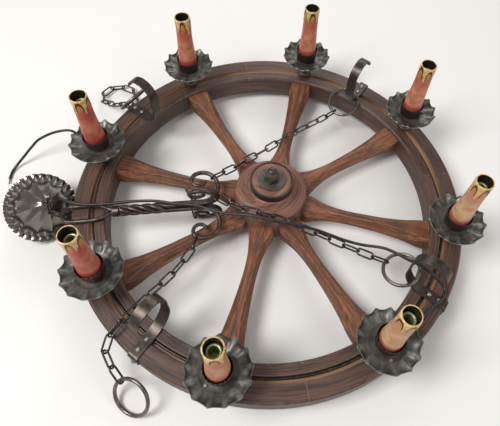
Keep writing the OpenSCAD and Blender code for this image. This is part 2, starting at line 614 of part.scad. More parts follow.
// strap seen along the rim: down the outer side, over the top, up and back over as a hook
module strap_profile() {
    z = hook_z + 0.1;
    t = strap_t;
    translate([rim_r + 0.1, rim_z1 - strap_down]) square([t, strap_down + 0.1]);
    intersection() {
        translate([rim_r + 0.1, rim_z1 + 0.1]) circle(r = t);
        translate([rim_r + 0.1, rim_z1 + 0.1]) square(t + 1);
    }
    translate([hook_x, rim_z1 + 0.1]) square([rim_r + 0.1 - hook_x, t]);
    arc_band([hook_x, z + hook_foot_r], hook_foot_r, t, 180, 270);
    translate([hook_in - t / 2, z + hook_foot_r]) square([t, hook_rise]);
    arc_band([hook_in + hook_top_r, z + hook_foot_r + hook_rise], hook_top_r, t, hook_end, 180);
}
module bracket(i) color(black_iron) rotate(bracket_angle(i)) difference() {
    rotate([90, 0, 0]) linear_extrude(strap_w, center = true) strap_profile();
    bracket_holes();
}
module round_screw() {
    translate([0, 0, -16]) cylinder(d = screw_d, h = 17);
    intersection() {
        translate([0, 0, -screw_head_d / 2 + 2.6]) sphere(d = screw_head_d + 1.4);
        translate([0, 0, 0.1]) cylinder(d = screw_head_d, h = 3);
    }
}
module bracket_screws() color("#b9b4aa") for (i = [1 : 4]) rotate(bracket_angle(i)) {
    for (x = [12, 30]) translate([rim_r - x, 0, rim_z1 + strap_t + 0.1]) round_screw();
    translate([rim_r + strap_t + 0.1, 0, rim_z1 - strap_down + 8]) rotate([0, 90, 0]) round_screw();
}

// ================= rings and chains =================
module big_ring(i) color(ring_iron) translate(ring_centre(i)) rotate(ring_face(i))
    rotate([0, -ring_tilt[i - 1], 0]) rotate_extrude() translate([ring_r, 0]) circle(d = ring_bar, $fn = 48);

module chain_1() color(ring_iron) links(chain_p1, arm_dir(4, 150), ring_dir(1, 15));
module chain_2() color(ring_iron) links(chain_p2, arm_dir(1, 40), ring_dir(2, 170));
module chain_3() color(ring_iron) links(chain_p3, arm_dir(2, -8), ring_dir(3, 179));
module chain_4() color(ring_iron) links(chain_p4, arm_dir(3, 122), ring_dir(4, 240), 0, n_4 - 4);
module end_link(k) color(ring_iron)
    links(chain_p4, arm_dir(3, 122), ring_dir(4, 240), n_4 - 4 + k, n_4 - 4 + k);

// ================= hanger =================
module hang_place() translate(hang_at) rotate(hang_turn) rotate([0, -hang_pitch, 0]) children();
// eye bent from one round bar, its two ends side by side in a forged collar
module hanger_eye() color(black_iron) hang_place() {
    r = eye_w / 2 - eye_bar / 2;
    y = eye_bar / 2 + 0.2;
    x = -hang_l + eye_bar / 2 + r;
    side = curve([[-straight_l - twist_l - 8, y, 0], [-straight_l - twist_l - 18, y, 0],
        [-hang_l + eye_l * 0.86, mix(y, r, 0.4), 0], [-hang_l + eye_l * 0.6, r, 0], [x + 8, r, 0]], 3);
    n = len(side) - 1;
    tube(concat(side, [for (a = [90 : 15 : 270]) [x + r * cos(a), r * sin(a), 0]],
        [for (k = [n : -1 : 0]) [side[k][0], -side[k][1], 0]]), eye_bar, 12);
    translate([-straight_l - twist_l - 14, 0, 0]) rotate([0, 90, 0])
        cylinder(d = 2 * bundle_r + bar_d, h = 12);
}
// one strand of the twist, wound once round the bundle's middle
module strand() {
    n = 18;
    r = bar_d / 2 - 0.2;
    rings = [for (k = [0 : n]) let (t = twist_turn * k / n) for (j = [0 : 7])
        let (y = bundle_r + r * cos(45 * j), z = r * sin(45 * j))
        [(twist_l + 2) * k / n, y * cos(t) - z * sin(t), y * sin(t) + z * cos(t)]];
    translate([-straight_l - twist_l - 1.9, 0, 0]) polyhedron(rings, skin(8, n + 1, false), 10);
}
module hanger_bar(i) color(black_iron) hang_place() rotate([arm_turn(i), 0, 0]) {
    translate([-straight_l - 1, bundle_r, 0]) rotate([0, 90, 0])
        cylinder(d = bar_d, h = straight_l + 1 + bend_x);
    strand();
    translate([bend_x, bundle_r + scroll_r, 0]) rotate(-90)
        rotate_extrude(angle = scroll_split + 90) translate([scroll_r, 0]) circle(d = bar_d, $fn = 32);
    translate([curl_c[0], curl_c[1], 0]) rotate(scroll_split - 2)
        rotate_extrude(angle = 232) translate([curl_r, 0]) circle(d = curl_bar, $fn = 32);
    tip = on_curl(scroll_split + 230);
    translate([tip[0], tip[1], 0]) sphere(d = curl_bar + 1, $fn = 32);
}

// ================= canopy =================
// fluted bell: ribs stand at the full radius, the sheet between them is hollowed
module canopy_bell() {
    n = bell_flutes * 4;
    r = bell_d / 2;
    // radius, level and how much the flutes show
    prof = [[rod_d / 2 + 0.1, bell_h, 0], [9, bell_h - 0.6, 0.1], [r * 0.32, bell_h * 0.88, 0.5],
        [r * 0.55, bell_h * 0.68, 0.8], [r * 0.75, bell_h * 0.44, 1], [r * 0.9, bell_h * 0.2, 1], [r, 0, 1]];
    function rib(q, i, t) = let (a = 360 * i / n, k = 1 - bell_hollow * q[2] * abs(sin(a * bell_flutes / 2)),
        s = (q[2] == 0 ? q[0] : q[0] - t) * k)
        [s * cos(a), s * sin(a), sheet_t + 0.2 + (q[1] == 0 ? 0 : q[1] - t)];
    rings = concat([for (k = [len(prof) - 1 : -1 : 0]) for (i = [0 : n - 1]) rib(prof[k], i, 0)],
        [for (q = prof) for (i = [0 : n - 1]) rib(q, i, sheet_t)]);
    color("#6b6a66") canopy_place() polyhedron(rings, skin(n, 2 * len(prof), true), 10);
}
module canopy_plate() {
    n = plate_crimps * 2;
    r = plate_d / 2;
    prof = [[rod_d / 2 + 0.1, 0, 0], [r * 0.82, 0, 0], [r * 0.9, 0.5, 0.4], [r, -1, 1]];
    function crimp(q, i, t) = let (a = 360 * i / n, w = (i % 2 == 0 ? 1 : -1) * q[2])
        [(q[0] + w) * cos(a), (q[0] + w) * sin(a), q[1] + 1.2 * w + t];
    rings = concat([for (q = prof) for (i = [0 : n - 1]) crimp(q, i, 0)],
        [for (k = [len(prof) - 1 : -1 : 0]) for (i = [0 : n - 1]) crimp(prof[k], i, sheet_t)]);
    color("#5d5d5a") canopy_place() polyhedron(rings, skin(n, 2 * len(prof), true), 10);
}
// rod through the canopy, with the ceiling loop at one end and the chain loop at the other
module canopy_rod() color(black_iron) canopy_place() {
    translate([0, 0, -6]) cylinder(d = rod_d, h = bell_h + sheet_t * 2 + 8);
    translate([0, 0, -6]) cylinder(d = rod_d + 8, h = 5.9);
    translate([0, 0, bell_h + sheet_t + 0.4]) cylinder(d1 = rod_d + 8, d2 = rod_d + 2, h = 4);
    translate([0, 0, -4 - ceiling_loop_od / 2]) rotate([90, 0, 0])
        rotate_extrude() translate([ceiling_loop_od / 2 - loop_bar / 2, 0]) circle(d = loop_bar, $fn = 32);
    translate([0, 0, top_loop_z]) rotate(loop_turn) rotate([90, 0, 0])
        rotate_extrude() translate([top_loop_r, 0]) circle(d = loop_bar, $fn = 32);
}
link_line = unit(loop_pt - eye_pt);
link_side = unit(cross([0, 0, 1], link_line));
canopy_bow = cos(link_bow) * link_side + sin(link_bow) * cross(link_line, link_side);
canopy_top = (loop_pt + eye_pt) / 2 + 8 * canopy_bow;
canopy_j0 = hooked(loop_pt, canopy_top - loop_pt, loop_bar);
canopy_j2 = hooked(eye_pt, canopy_top - eye_pt, eye_bar);
// the two links meet one pitch from either end
canopy_half = norm(canopy_j0 - canopy_j2) / 2;
canopy_dir = unit(canopy_j0 - canopy_j2);
canopy_up = unit(canopy_bow - canopy_dir * (canopy_bow * canopy_dir));
canopy_mid = (canopy_j0 + canopy_j2) / 2
    + canopy_up * sqrt(max(0, link_span * link_span - canopy_half * canopy_half));
canopy_j = [canopy_j0, canopy_mid, canopy_j2];
module canopy_link_1() color(ring_iron)
    link_at(canopy_j[2], canopy_j[1], roll_to(canopy_j[1] - canopy_j[2], eye_dir));
module canopy_link_2() color(ring_iron)
    link_at(canopy_j[1], canopy_j[0], roll_to(canopy_j[0] - canopy_j[1], loop_dir));

// ================= cables =================
module rim_cable() color(cable_black) translate([0, 0, rim_z1 - groove_depth + rim_cable_d / 2 + 0.1])
    rotate_extrude() translate([groove_r + 0.4 + rim_cable_d / 2, 0]) circle(d = rim_cable_d, $fn = 32);
module lead_cable() color(cable_black) tube(curve(lead_route, 3), lead_d);
module tail_cable() color(cable_black) tube(curve(tail_route, 2), lead_d);

felloe(1);  // felloe_1
felloe(2);  // felloe_2
felloe(3);  // felloe_3
felloe(4);  // felloe_4
spoke(1);  // spoke_1
spoke(2);  // spoke_2
spoke(3);  // spoke_3
spoke(4);  // spoke_4
spoke(5);  // spoke_5
spoke(6);  // spoke_6
spoke(7);  // spoke_7
spoke(8);  // spoke_8
nave();
nave_band();
hub_bolt();
hub_washer();
hub_nut();
lamp_feet();
drip_pans();
pan_screws();
candle_cups();
lamp_tubes();
lampholders();
candle_sleeve(1);  // candle_sleeve_1
candle_sleeve(2);  // candle_sleeve_2
candle_sleeve(3);  // candle_sleeve_3
candle_sleeve(4);  // candle_sleeve_4
candle_sleeve(5);  // candle_sleeve_5
candle_sleeve(6);  // candle_sleeve_6
candle_sleeve(7);  // candle_sleeve_7
candle_sleeve(8);  // candle_sleeve_8
bracket(1);  // bracket_1
bracket(2);  // bracket_2
bracket(3);  // bracket_3
bracket(4);  // bracket_4
bracket_screws();
big_ring(1);  // big_ring_1
big_ring(2);  // big_ring_2
big_ring(3);  // big_ring_3
big_ring(4);  // big_ring_4
chain_1();
chain_2();
chain_3();
chain_4();
end_link(1);  // end_link_1
end_link(2);  // end_link_2
end_link(3);  // end_link_3
hanger_eye();
hanger_bar(1);  // hanger_bar_1
hanger_bar(2);  // hanger_bar_2
hanger_bar(3);  // hanger_bar_3
hanger_bar(4);  // hanger_bar_4
canopy_bell();
canopy_plate();
canopy_rod();
canopy_link_1();
canopy_link_2();
rim_cable();
lead_cable();
tail_cable();
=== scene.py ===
import math
import random

import bmesh
import bpy
import numpy as np
from mathutils import Matrix, Vector


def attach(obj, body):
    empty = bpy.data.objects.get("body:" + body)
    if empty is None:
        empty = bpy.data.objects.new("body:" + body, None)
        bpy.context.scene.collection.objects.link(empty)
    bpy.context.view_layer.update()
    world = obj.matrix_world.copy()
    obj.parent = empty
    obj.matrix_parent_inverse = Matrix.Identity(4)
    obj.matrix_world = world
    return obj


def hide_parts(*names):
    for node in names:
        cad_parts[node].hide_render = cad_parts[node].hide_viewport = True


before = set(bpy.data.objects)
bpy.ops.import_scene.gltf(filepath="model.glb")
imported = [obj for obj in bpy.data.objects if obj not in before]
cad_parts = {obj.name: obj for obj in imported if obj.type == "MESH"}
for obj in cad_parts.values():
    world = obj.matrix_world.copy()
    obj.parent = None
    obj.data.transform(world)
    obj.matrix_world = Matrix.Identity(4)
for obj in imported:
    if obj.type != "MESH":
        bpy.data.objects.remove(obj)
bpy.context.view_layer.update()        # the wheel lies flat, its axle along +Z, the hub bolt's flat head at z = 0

# ---------------------------------------------------------------------------
# Camera. The photograph looks down on the wheel from about 56 degrees, from the
# front and a little to the left, close enough for the far rim to look smaller.
bpy.ops.object.camera_add()
camera = bpy.context.object
camera.name = "camera"
stand = (-0.1010, -0.4452, 0.8217)
right, up, back = (0.9835, -0.1726, 0.0550), (0.1130, 0.8218, 0.5585), (-0.1416, -0.5431, 0.8277)
camera.matrix_world = Matrix.Translation(stand) @ Matrix((right, up, back)).transposed().to_4x4()
camera.data.sensor_width = 36
camera.data.lens = 34.74
camera.data.shift_x = -0.0622
camera.data.shift_y = -0.0875
camera.data.clip_end = 30
bpy.context.scene.camera = camera
bpy.context.scene.view_settings.view_transform = "Standard"

# ---------------------------------------------------------------------------
# Free cables. The feed comes out of lamp 5's foot and runs beside the chain to the
# canopy; the tail leaves lamp 8's foot, its far end stripped. Black sheathed flex.


def smooth_line(points, steps):
    """Smooth curve through given points, in mm, steps to each stretch."""
    p = [np.array(q, float) for q in points]
    p = [2 * p[0] - p[1]] + p + [2 * p[-1] - p[-2]]
    line = []
    for i in range(1, len(p) - 2):
        a, b, c, d = p[i - 1:i + 3]
        for k in range(steps):
            t = k / steps
            line.append(0.5 * (2 * b + (c - a) * t + (2 * a - 5 * b + 4 * c - d) * t ** 2
                               + (3 * b - a - 3 * c + d) * t ** 3))
    return line + [p[-2]]


def bar_loops(line, radii, sides=12):
    """Round section, swept along a line without twisting; radii is one size or one for each point."""
    line = [np.array(q, float) for q in line]
    radii = radii if hasattr(radii, "__len__") else [radii] * len(line)
    loops = []
    across = None
    for i, q in enumerate(line):
        run = line[min(i + 1, len(line) - 1)] - line[max(i - 1, 0)]
        run = run / np.linalg.norm(run)
        if across is None:
            across = np.cross((0, 0, 1) if abs(run[2]) < 0.9 else (1, 0, 0), run)
        across = across - run * across.dot(run)
        across = across / np.linalg.norm(across)
        other = np.cross(run, across)
        loops.append([q + radii[i] * (math.cos(a) * across + math.sin(a) * other)
                      for a in np.arange(sides) * 2 * math.pi / sides])
    return loops


def loft(name, loops, ends=True, joined=False):
    """A mesh that starts as a circle and is extruded once for each further loop of points, in mm."""
    count = len(loops[0])
    bpy.ops.object.select_all(action="DESELECT")
    bpy.ops.mesh.primitive_circle_add(vertices=count, radius=0.01)
    piece = bpy.context.object
    piece.name = piece.data.name = name
    bpy.ops.object.mode_set(mode="EDIT")
    bpy.context.tool_settings.mesh_select_mode = (True, True, False)
    mesh = bmesh.from_edit_mesh(piece.data)
    mesh.verts.ensure_lookup_table()
    row = list(range(count))
    for k, loop in enumerate(loops):
        if k:
            bpy.ops.mesh.extrude_region_move()
            mesh = bmesh.from_edit_mesh(piece.data)
            mesh.verts.ensure_lookup_table()
            row = [next(e.other_vert(mesh.verts[i]).index for e in mesh.verts[i].link_edges
                        if e.other_vert(mesh.verts[i]).select) for i in row]
        for i, p in zip(row, loop):
            mesh.verts[i].co = Vector(p) / 1000
    if joined or ends:
        bpy.ops.mesh.select_all(action="DESELECT")
        mesh = bmesh.from_edit_mesh(piece.data)
        for e in mesh.edges:
            e.select_set(len(e.link_faces) < 2)
        bmesh.update_edit_mesh(piece.data)
        if joined:
            bpy.ops.mesh.bridge_edge_loops()
        else:
            bpy.ops.mesh.fill_holes(sides=0)
    bpy.ops.mesh.select_all(action="SELECT")
    bpy.ops.mesh.normals_make_consistent(inside=False)
    bpy.ops.object.mode_set(mode="OBJECT")
    return piece


def finish(piece, angle, wall=0.0):
    """Applies a wall thickness in mm, then shades smooth the faces that meet at less than an angle."""
    bpy.ops.object.select_all(action="DESELECT")
    piece.select_set(True)
    bpy.context.view_layer.objects.active = piece
    if wall:
        solid = piece.modifiers.new("wall", "SOLIDIFY")
        solid.thickness, solid.offset = wall / 1000, 1.0
        bpy.ops.object.modifier_apply(modifier="wall")
    bpy.ops.object.shade_smooth_by_angle(angle=math.radians(angle))
    return piece


def keep(piece, material, slot, body, *nodes):
    """Gives a piece its material, sets it on its body and hides the plain solids it stands for. The slot is not
    used.
    """
    piece.data.materials.clear()
    piece.data.materials.append(material)
    if nodes:
        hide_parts(*nodes)
    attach(piece, body)


def srgb(code):
    """Linear colour of an sRGB hex value."""
    parts = [int(code[i:i + 2], 16) / 255 for i in (1, 3, 5)]
    return tuple(c / 12.92 if c <= 0.04045 else ((c + 0.055) / 1.055) ** 2.4 for c in parts) + (1.0,)


def add(tree, kind, values=(), out=0, **settings):
    """Adds a node; values are its inputs by place or name, settings its own, out the socket that it gives."""
    made = tree.nodes.new("ShaderNode" + kind)
    for key, value in settings.items():
        setattr(made, key, value)
    for key, value in (values.items() if isinstance(values, dict) else enumerate(values)):
        if isinstance(value, bpy.types.NodeSocket):
            tree.links.new(value, made.inputs[key])
        else:
            made.inputs[key].default_value = srgb(value) if isinstance(value, str) else value
    return made.outputs if out is None else made.outputs[out]


def blank(name, **sockets):
    """A new material with its shader's constant sockets set."""
    material = bpy.data.materials.new(name)
    material.use_nodes = True
    shader = material.node_tree.nodes["Principled BSDF"]
    for key, value in sockets.items():
        shader.inputs[key.replace("_", " ")].default_value = value
    return material, material.node_tree, shader


# PVC sheath, extruded: near black, a little glossy, with a very fine unevenness
pvc, tree, shader = blank("PVC_flex_black_extruded", Metallic=0.0, IOR=1.5)
where = add(tree, "TexCoord", out="Object")
dust = add(tree, "TexNoise", {"Vector": where, "Scale": 120, "Detail": 4.0, "Roughness": 0.55})
dusty = add(tree, "MapRange", [dust, 0.45, 0.7], interpolation_type="SMOOTHSTEP")
tree.links.new(add(tree, "Mix", {0: dusty, 6: "#151414", 7: "#33302e"}, out=2, data_type="RGBA"),
               shader.inputs["Base Color"])
tree.links.new(add(tree, "MapRange", {0: dust, 3: 0.28, 4: 0.5}), shader.inputs["Roughness"])

flex = 5.0
lead_route = [(137.2, -293.9, 66), (164, -281, 68), (190, -268, 68), (220, -250, 70), (244, -237, 73),
              (251, -222, 75), (241, -206, 82), (222, -187, 90), (202, -173, 92), (171, -146, 88),
              (135, -130, 81), (106, -117, 82), (64, -98, 92), (24, -84, 99), (-16, -71, 102),
              (-50, -57, 102), (-84, -44, 93), (-112, -30, 89), (-138, -18, 90), (-168, -10, 88),
              (-204, 2, 86), (-244, 8, 84), (-284, 10, 82), (-322, 14, 82), (-348, 22, 84),
              (-366, 30, 90)]
tail_route = [(-309.9, 131.9, 66), (-332, 158, 73), (-356, 188, 73), (-388, 194, 68), (-423, 194, 52),
              (-443, 189, 36), (-462, 180, 20), (-478, 170, 8), (-487, 158, 3.4), (-490, 142, 3)]
# two bare copper cores show at the tail's end, 12 mm long
cores = loft("tail_cores", bar_loops([(-489.2, 146, 3.6), (-489.6, 138, 3.8), (-489, 130, 3.4)], 0.9, 8))
core_2 = loft("core_2", bar_loops([(-490.4, 146, 2.4), (-490.8, 139, 1.9), (-491.2, 131, 1.3)], 0.9, 8))
bpy.ops.object.select_all(action="DESELECT")
core_2.select_set(True)
cores.select_set(True)
bpy.context.view_layer.objects.active = cores
bpy.ops.object.join()
copper, tree, shader = blank("copper_cores_drawn", Metallic=1.0)
where = add(tree, "TexCoord", out="Object")
drawn = add(tree, "TexNoise", {"Vector": where, "Scale": 400, "Detail": 4.0, "Roughness": 0.55})
tree.links.new(add(tree, "Mix", {0: drawn, 6: "#8a6248", 7: "#c9a58c"}, out=2, data_type="RGBA"),
               shader.inputs["Base Color"])
shader.inputs["Roughness"].default_value = 0.4
keep(finish(cores, 60), copper, "cable_black", "wheel")
for name, route, far, riders in (("lead_cable", lead_route, "object", ()),
                                 ("tail_cable", tail_route, "bare", (cores,))):
    line = smooth_line(route, 6)
    cable = loft(f"{name}_flex", bar_loops(line, flex / 2, 14))
    keep(finish(cable, 60), pvc, "cable_black", "wheel", name)

# ---------------------------------------------------------------------------
# Rim. Four felloes sawn from oak, chamfered, stained dark brown and left satin. The
# groove for the cable was cut after staining, so its floor is raw wood.


def worn_edge(tree, radius):
    """1 on sharp outer edges, from how a rounded edge of that radius in mm would turn the surface."""
    soft = add(tree, "Bevel", {0: radius / 1000}, samples=4)
    flat = add(tree, "NewGeometry", out="Normal")
    turn = add(tree, "VectorMath", {0: soft, 1: flat}, out="Value", operation="DOT_PRODUCT")
    return add(tree, "Math", [1.0, turn], operation="SUBTRACT", use_clamp=True)


def wood(name, grain, dark, mid, light, edge, raw=None):
    """Stained timber: pores along the grain, patches, pale edges that are partly worn and partly a painted
    highlight; grain gives run, across and up.
    """
    material, tree, shader = blank(name, Metallic=0.0, IOR=1.5)
    where = grain(tree)
    # pores are 0.3 mm wide in life, drawn 3 mm wide so that they show; they run for 60 mm and more
    long = add(tree, "Mapping", {0: where, 3: (13, 400, 400)})
    pores = add(tree, "TexNoise", {"Vector": long, "Scale": 1.0, "Detail": 6.0, "Roughness": 0.62})
    wide = add(tree, "Mapping", {0: where, 3: (6, 70, 70)})
    bands = add(tree, "TexNoise", {"Vector": wide, "Scale": 1.0, "Detail": 3.0, "Roughness": 0.55})
    patches = add(tree, "TexNoise", {"Vector": where, "Scale": 16, "Detail": 3.0, "Roughness": 0.55})
    lighter = add(tree, "MapRange", [bands, 0.38, 0.66], interpolation_type="SMOOTHSTEP")
    colour = add(tree, "Mix", {0: lighter, 6: mid, 7: light}, out=2, data_type="RGBA")
    for spots, low, high, share in ((pores, 0.54, 0.4, 0.75), (patches, 0.52, 0.75, 0.35)):
        spots = add(tree, "MapRange", [spots, low, high], interpolation_type="SMOOTHSTEP")
        spots = add(tree, "Math", [spots, share], operation="MULTIPLY")
        colour = add(tree, "Mix", {0: spots, 6: colour, 7: dark}, out=2, data_type="RGBA")
    rubbed = add(tree, "TexNoise", {"Vector": where, "Scale": 110, "Detail": 4.0, "Roughness": 0.55})
    rubbed = add(tree, "MapRange", [rubbed, 0.38, 0.6], interpolation_type="SMOOTHSTEP")
    # paler edges: rubbed wear, and also a painted highlight along the ridges
    edges = add(tree, "MapRange", [worn_edge(tree, 2.0), 0.012, 0.07], interpolation_type="SMOOTHSTEP")
    edge_wear_and_highlight = add(tree, "Math", [edges, rubbed], operation="MULTIPLY")
    colour = add(tree, "Mix", {0: edge_wear_and_highlight, 6: colour, 7: edge}, out=2, data_type="RGBA")
    if raw:
        # groove floor and walls, told by radius and level in metres
        part = add(tree, "SeparateXYZ", {0: where}, out=None)
        inside = add(tree, "Math", [part[1], 0.3107], operation="GREATER_THAN")
        for value, side, limit in ((part[1], "LESS_THAN", 0.3223), (part[2], "LESS_THAN", 0.0626),
                                   (part[2], "GREATER_THAN", 0.052)):
            limit = add(tree, "Math", [value, limit], operation=side)
            inside = add(tree, "Math", [inside, limit], operation="MULTIPLY")
        streaks = add(tree, "MapRange", [bands, 0.35, 0.65], interpolation_type="SMOOTHSTEP")
        pale = add(tree, "Mix", {0: streaks, 6: raw[0], 7: raw[1]}, out=2, data_type="RGBA")
        colour = add(tree, "Mix", {0: inside, 6: colour, 7: pale}, out=2, data_type="RGBA")
    tree.links.new(colour, shader.inputs["Base Color"])
    tree.links.new(add(tree, "MapRange", {0: pores, 3: 0.62, 4: 0.42}), shader.inputs["Roughness"])
    tree.links.new(add(tree, "Bump", {"Strength": 0.7, "Distance": 0.0008, "Height": pores}),
                   shader.inputs["Normal"])
    return material


def round_the_wheel(tree):
    """Grain that follows the rim: run round the wheel at 0.32 m, radius and level."""
    x, y, z = add(tree, "SeparateXYZ", {0: add(tree, "TexCoord", out="Object")}, out=None)
    run = add(tree, "Math", [add(tree, "Math", [y, x], operation="ARCTAN2"), 0.32], operation="MULTIPLY")
    out = add(tree, "VectorMath", [add(tree, "CombineXYZ", [x, y])], out="Value", operation="LENGTH")
    return add(tree, "CombineXYZ", [run, out, z])


rim_oak = wood("oak_stained_sawn_felloe", round_the_wheel, "#281c17", "#4a352c", "#5f4538", "#8c6650",
               ("#7f5c43", "#ad8a6a"))
for i in range(1, 5):
    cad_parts[f"felloe_{i}"].data.materials[0] = rim_oak

# ---------------------------------------------------------------------------
# Spokes. Eight, of the same stained oak, shaped by drawknife: square at the nave,
# waisted, chamfered to eight sides, and spread flat where they meet the rim.


def place(degrees=0.0, at=(0, 0, 0)):
    """Place of a piece: turned about Z, then moved; at is in millimetres."""
    return Matrix.Translation(Vector(at) / 1000) @ Matrix.Rotation(math.radians(degrees), 4, "Z")


def copies(piece, places, names=None):
    """Copies of a finished piece, each with its own mesh; joined into one piece unless named apart."""
    made = []
    for k, where in enumerate(places):
        copy = piece.copy()
        copy.data = piece.data.copy()
        copy.data.transform(where)
        bpy.context.collection.objects.link(copy)
        if names:
            copy.name = copy.data.name = names[k]
        made.append(copy)
    name = piece.name
    bpy.data.objects.remove(piece)
    if not names:
        bpy.ops.object.select_all(action="DESELECT")
        for copy in made:
            copy.select_set(True)
        bpy.context.view_layer.objects.active = made[0]
        bpy.ops.object.join()
        made[0].name = made[0].data.name = name
        return made[0]
    return made


def keep_grain(piece):
    """Stores the piece's own directions, so that its grain stays along it once it is in place."""
    store = piece.data.attributes.new("grain", "FLOAT_VECTOR", "POINT")
    for n, v in enumerate(piece.data.vertices):
        store.data[n].vector = v.co


def along_the_piece(tree):
    """Grain that runs along a piece, from its stored directions."""
    return add(tree, "Attribute", out="Vector", attribute_name="grain")


nave_r, rim_in, mid_level = 64.5, 293.0, 40.5
nave_gap, rim_gap = 0.1, 0.2
# distance from the axle, width, height, and how far the four long edges are cut back
stations = [(64.7, 39.6, 33, 3), (72.7, 44, 34, 5), (94, 33.9, 29.4, 8), (115, 26.4, 26.3, 8),
            (142, 23, 24, 7.5), (174, 24.5, 25, 8), (211, 29.5, 27, 10), (247, 36.3, 30.6, 10),
            (268, 42, 34, 8), (283, 42, 34, 3), (292.6, 42, 34, 3)]
corners = ((1, -1, 0, 1), (1, 1, 0, -1), (1, 1, -1, 0), (-1, 1, 1, 0),
           (-1, 1, 0, -1), (-1, -1, 0, 1), (-1, -1, 1, 0), (1, -1, -1, 0))
loops = []
fine = smooth_line(stations, 4)
for n, (x, w, h, cut) in enumerate(fine):
    loop = []
    for a, b, c, d in corners:
        y, z = a * w / 2 + c * cut, mid_level + b * h / 2 + d * cut
        # the ends are cut hollow, to fit the round nave and the rim's inner face
        if n == 0:
            x = math.sqrt(nave_r ** 2 - y * y) + nave_gap
        if n == len(fine) - 1:
            x = math.sqrt((rim_in - rim_gap) ** 2 - y * y)
        loop.append((x, y, z))
    loops.append(loop)
spoke = finish(loft("spoke", loops), 22)
# the lamps stand over the spokes' ends
lamp_turns = [157.5 - 45 * i for i in range(1, 9)]
# its pale edge colour also stands for a painted highlight along the chamfer ridges
spoke_oak = wood("oak_stained_shaved_spoke", along_the_piece, "#332019", "#6c412a", "#8d5738", "#bb8a64")
keep_grain(spoke)
shaped = copies(spoke, [place(a) for a in lamp_turns], [f"spoke_{i}_shaped" for i in range(1, 9)])
for i, made in enumerate(shaped, 1):
    # each is cut from another place of the plank
    for point in made.data.attributes["grain"].data:
        point.vector = Vector(point.vector) + Vector((0.7 * i, 0.13 * i, 0.0))
    keep(made, spoke_oak, "spoke_wood", "wheel", f"spoke_{i}")

# ---------------------------------------------------------------------------
# Nave. One turned block of stained elm, its end grain showing inside an iron band,
# its shoulder hollowed down to the spokes. Growth rings cross the shoulder.


def turned_loops(profile, count):
    """Loops of a turned or beaten shape round Z, from (radius, level) points."""
    return [[(r * math.cos(a), r * math.sin(a), z) for a in np.arange(count) * 2 * math.pi / count]
            for r, z in profile]


def from_the_axle(tree):
    """Grain of a turned block: rings about the axle, which runs upwards."""
    x, y, z = add(tree, "SeparateXYZ", {0: add(tree, "TexCoord", out="Object")}, out=None)
    # the block's heart lies 17 mm off the axle, so the growth rings aren't concentric with it
    x = add(tree, "Math", [x, 0.014], operation="ADD")
    y = add(tree, "Math", [y, 0.010], operation="SUBTRACT")
    out = add(tree, "VectorMath", [add(tree, "CombineXYZ", [x, y])], out="Value", operation="LENGTH")
    turn = add(tree, "Math", [add(tree, "Math", [y, x], operation="ARCTAN2"), 0.03], operation="MULTIPLY")
    return add(tree, "CombineXYZ", [turn, out, add(tree, "Math", [z, 0.35], operation="MULTIPLY")])


outline = [(20.2, 6.2), (20.2, 0.2), (21, 0), (44, 0), (50, 3), (56, 11), (60, 14), (63.6, 18),
           (nave_r, 20), (nave_r, 50), (nave_r, 76), (64.2, 79.5), (62.6, 81.8), (59.5, 82.8), (56, 83.6),
           (52, 85.4), (48.5, 88), (45.4, 91.4), (42.6, 95.2), (40.6, 98), (39.2, 99.3), (37.6, 99.6),
           (35, 99.6), (34.9, 112.8), (34.2, 113.7), (33, 114), (26, 114), (8.3, 114), (8.3, 60), (8.3, 6.2)]
nave = finish(loft("nave_turned", turned_loops(outline, 96), joined=True), 40)
nave_elm = wood("elm_stained_turned_nave", from_the_axle, "#463029", "#775346", "#8f6350", "#a97f66")
keep(nave, nave_elm, "nave_wood", "wheel", "nave")


def iron(name, dark, mid, worn_and_highlight, metallic=0.75, rough=(0.38, 0.62), edge=1.2, hammer=0.0, coat=0.0,
         uneven=0.25):
    """Blackened iron: mottled scale, bright where edges rub, and hammer marks if it was beaten; on the canopy's
    sheet the bright colour is a painted highlight.
    """
    material, tree, shader = blank(name, Metallic=metallic, Coat_Weight=coat)
    where = add(tree, "TexCoord", out="Object")
    scale = add(tree, "TexNoise", {"Vector": where, "Scale": 140, "Detail": 5.0, "Roughness": 0.6})
    broad = add(tree, "TexNoise", {"Vector": where, "Scale": 28, "Detail": 3.0, "Roughness": 0.55})
    mottled = add(tree, "MapRange", [scale, 0.35, 0.65], interpolation_type="SMOOTHSTEP")
    colour = add(tree, "Mix", {0: mottled, 6: dark, 7: mid}, out=2, data_type="RGBA")
    handled = add(tree, "MapRange", [broad, 0.5, 0.8], interpolation_type="SMOOTHSTEP")
    handled = add(tree, "Math", [handled, 0.15], operation="MULTIPLY")
    colour = add(tree, "Mix", {0: handled, 6: colour, 7: worn_and_highlight}, out=2, data_type="RGBA")
    rubbed = add(tree, "TexNoise", {"Vector": where, "Scale": 220, "Detail": 4.0, "Roughness": 0.55})
    rubbed = add(tree, "MapRange", [rubbed, 0.25, 0.55], interpolation_type="SMOOTHSTEP")
    # edges rubbed bright: wear, and on the canopy's sheet a painted rim highlight
    edges = add(tree, "MapRange", [worn_edge(tree, edge), 0.02, 0.2], interpolation_type="SMOOTHSTEP")
    rub_and_highlight = add(tree, "Math", [edges, rubbed], operation="MULTIPLY")
    tree.links.new(add(tree, "Mix", {0: rub_and_highlight, 6: colour, 7: worn_and_highlight}, out=2, data_type="RGBA"),
                   shader.inputs["Base Color"])
    tree.links.new(add(tree, "MapRange", {0: scale, 3: rough[0], 4: rough[1]}), shader.inputs["Roughness"])
    height = scale
    if hammer:
        beaten = add(tree, "TexVoronoi", {"Vector": where, "Scale": 1000 / hammer}, feature="SMOOTH_F1")
        height = add(tree, "Math", [beaten, 2.0, scale], operation="MULTIPLY_ADD")
    tree.links.new(add(tree, "Bump", {"Strength": uneven, "Distance": 0.0003, "Height": height}),
                   shader.inputs["Normal"])
    return material


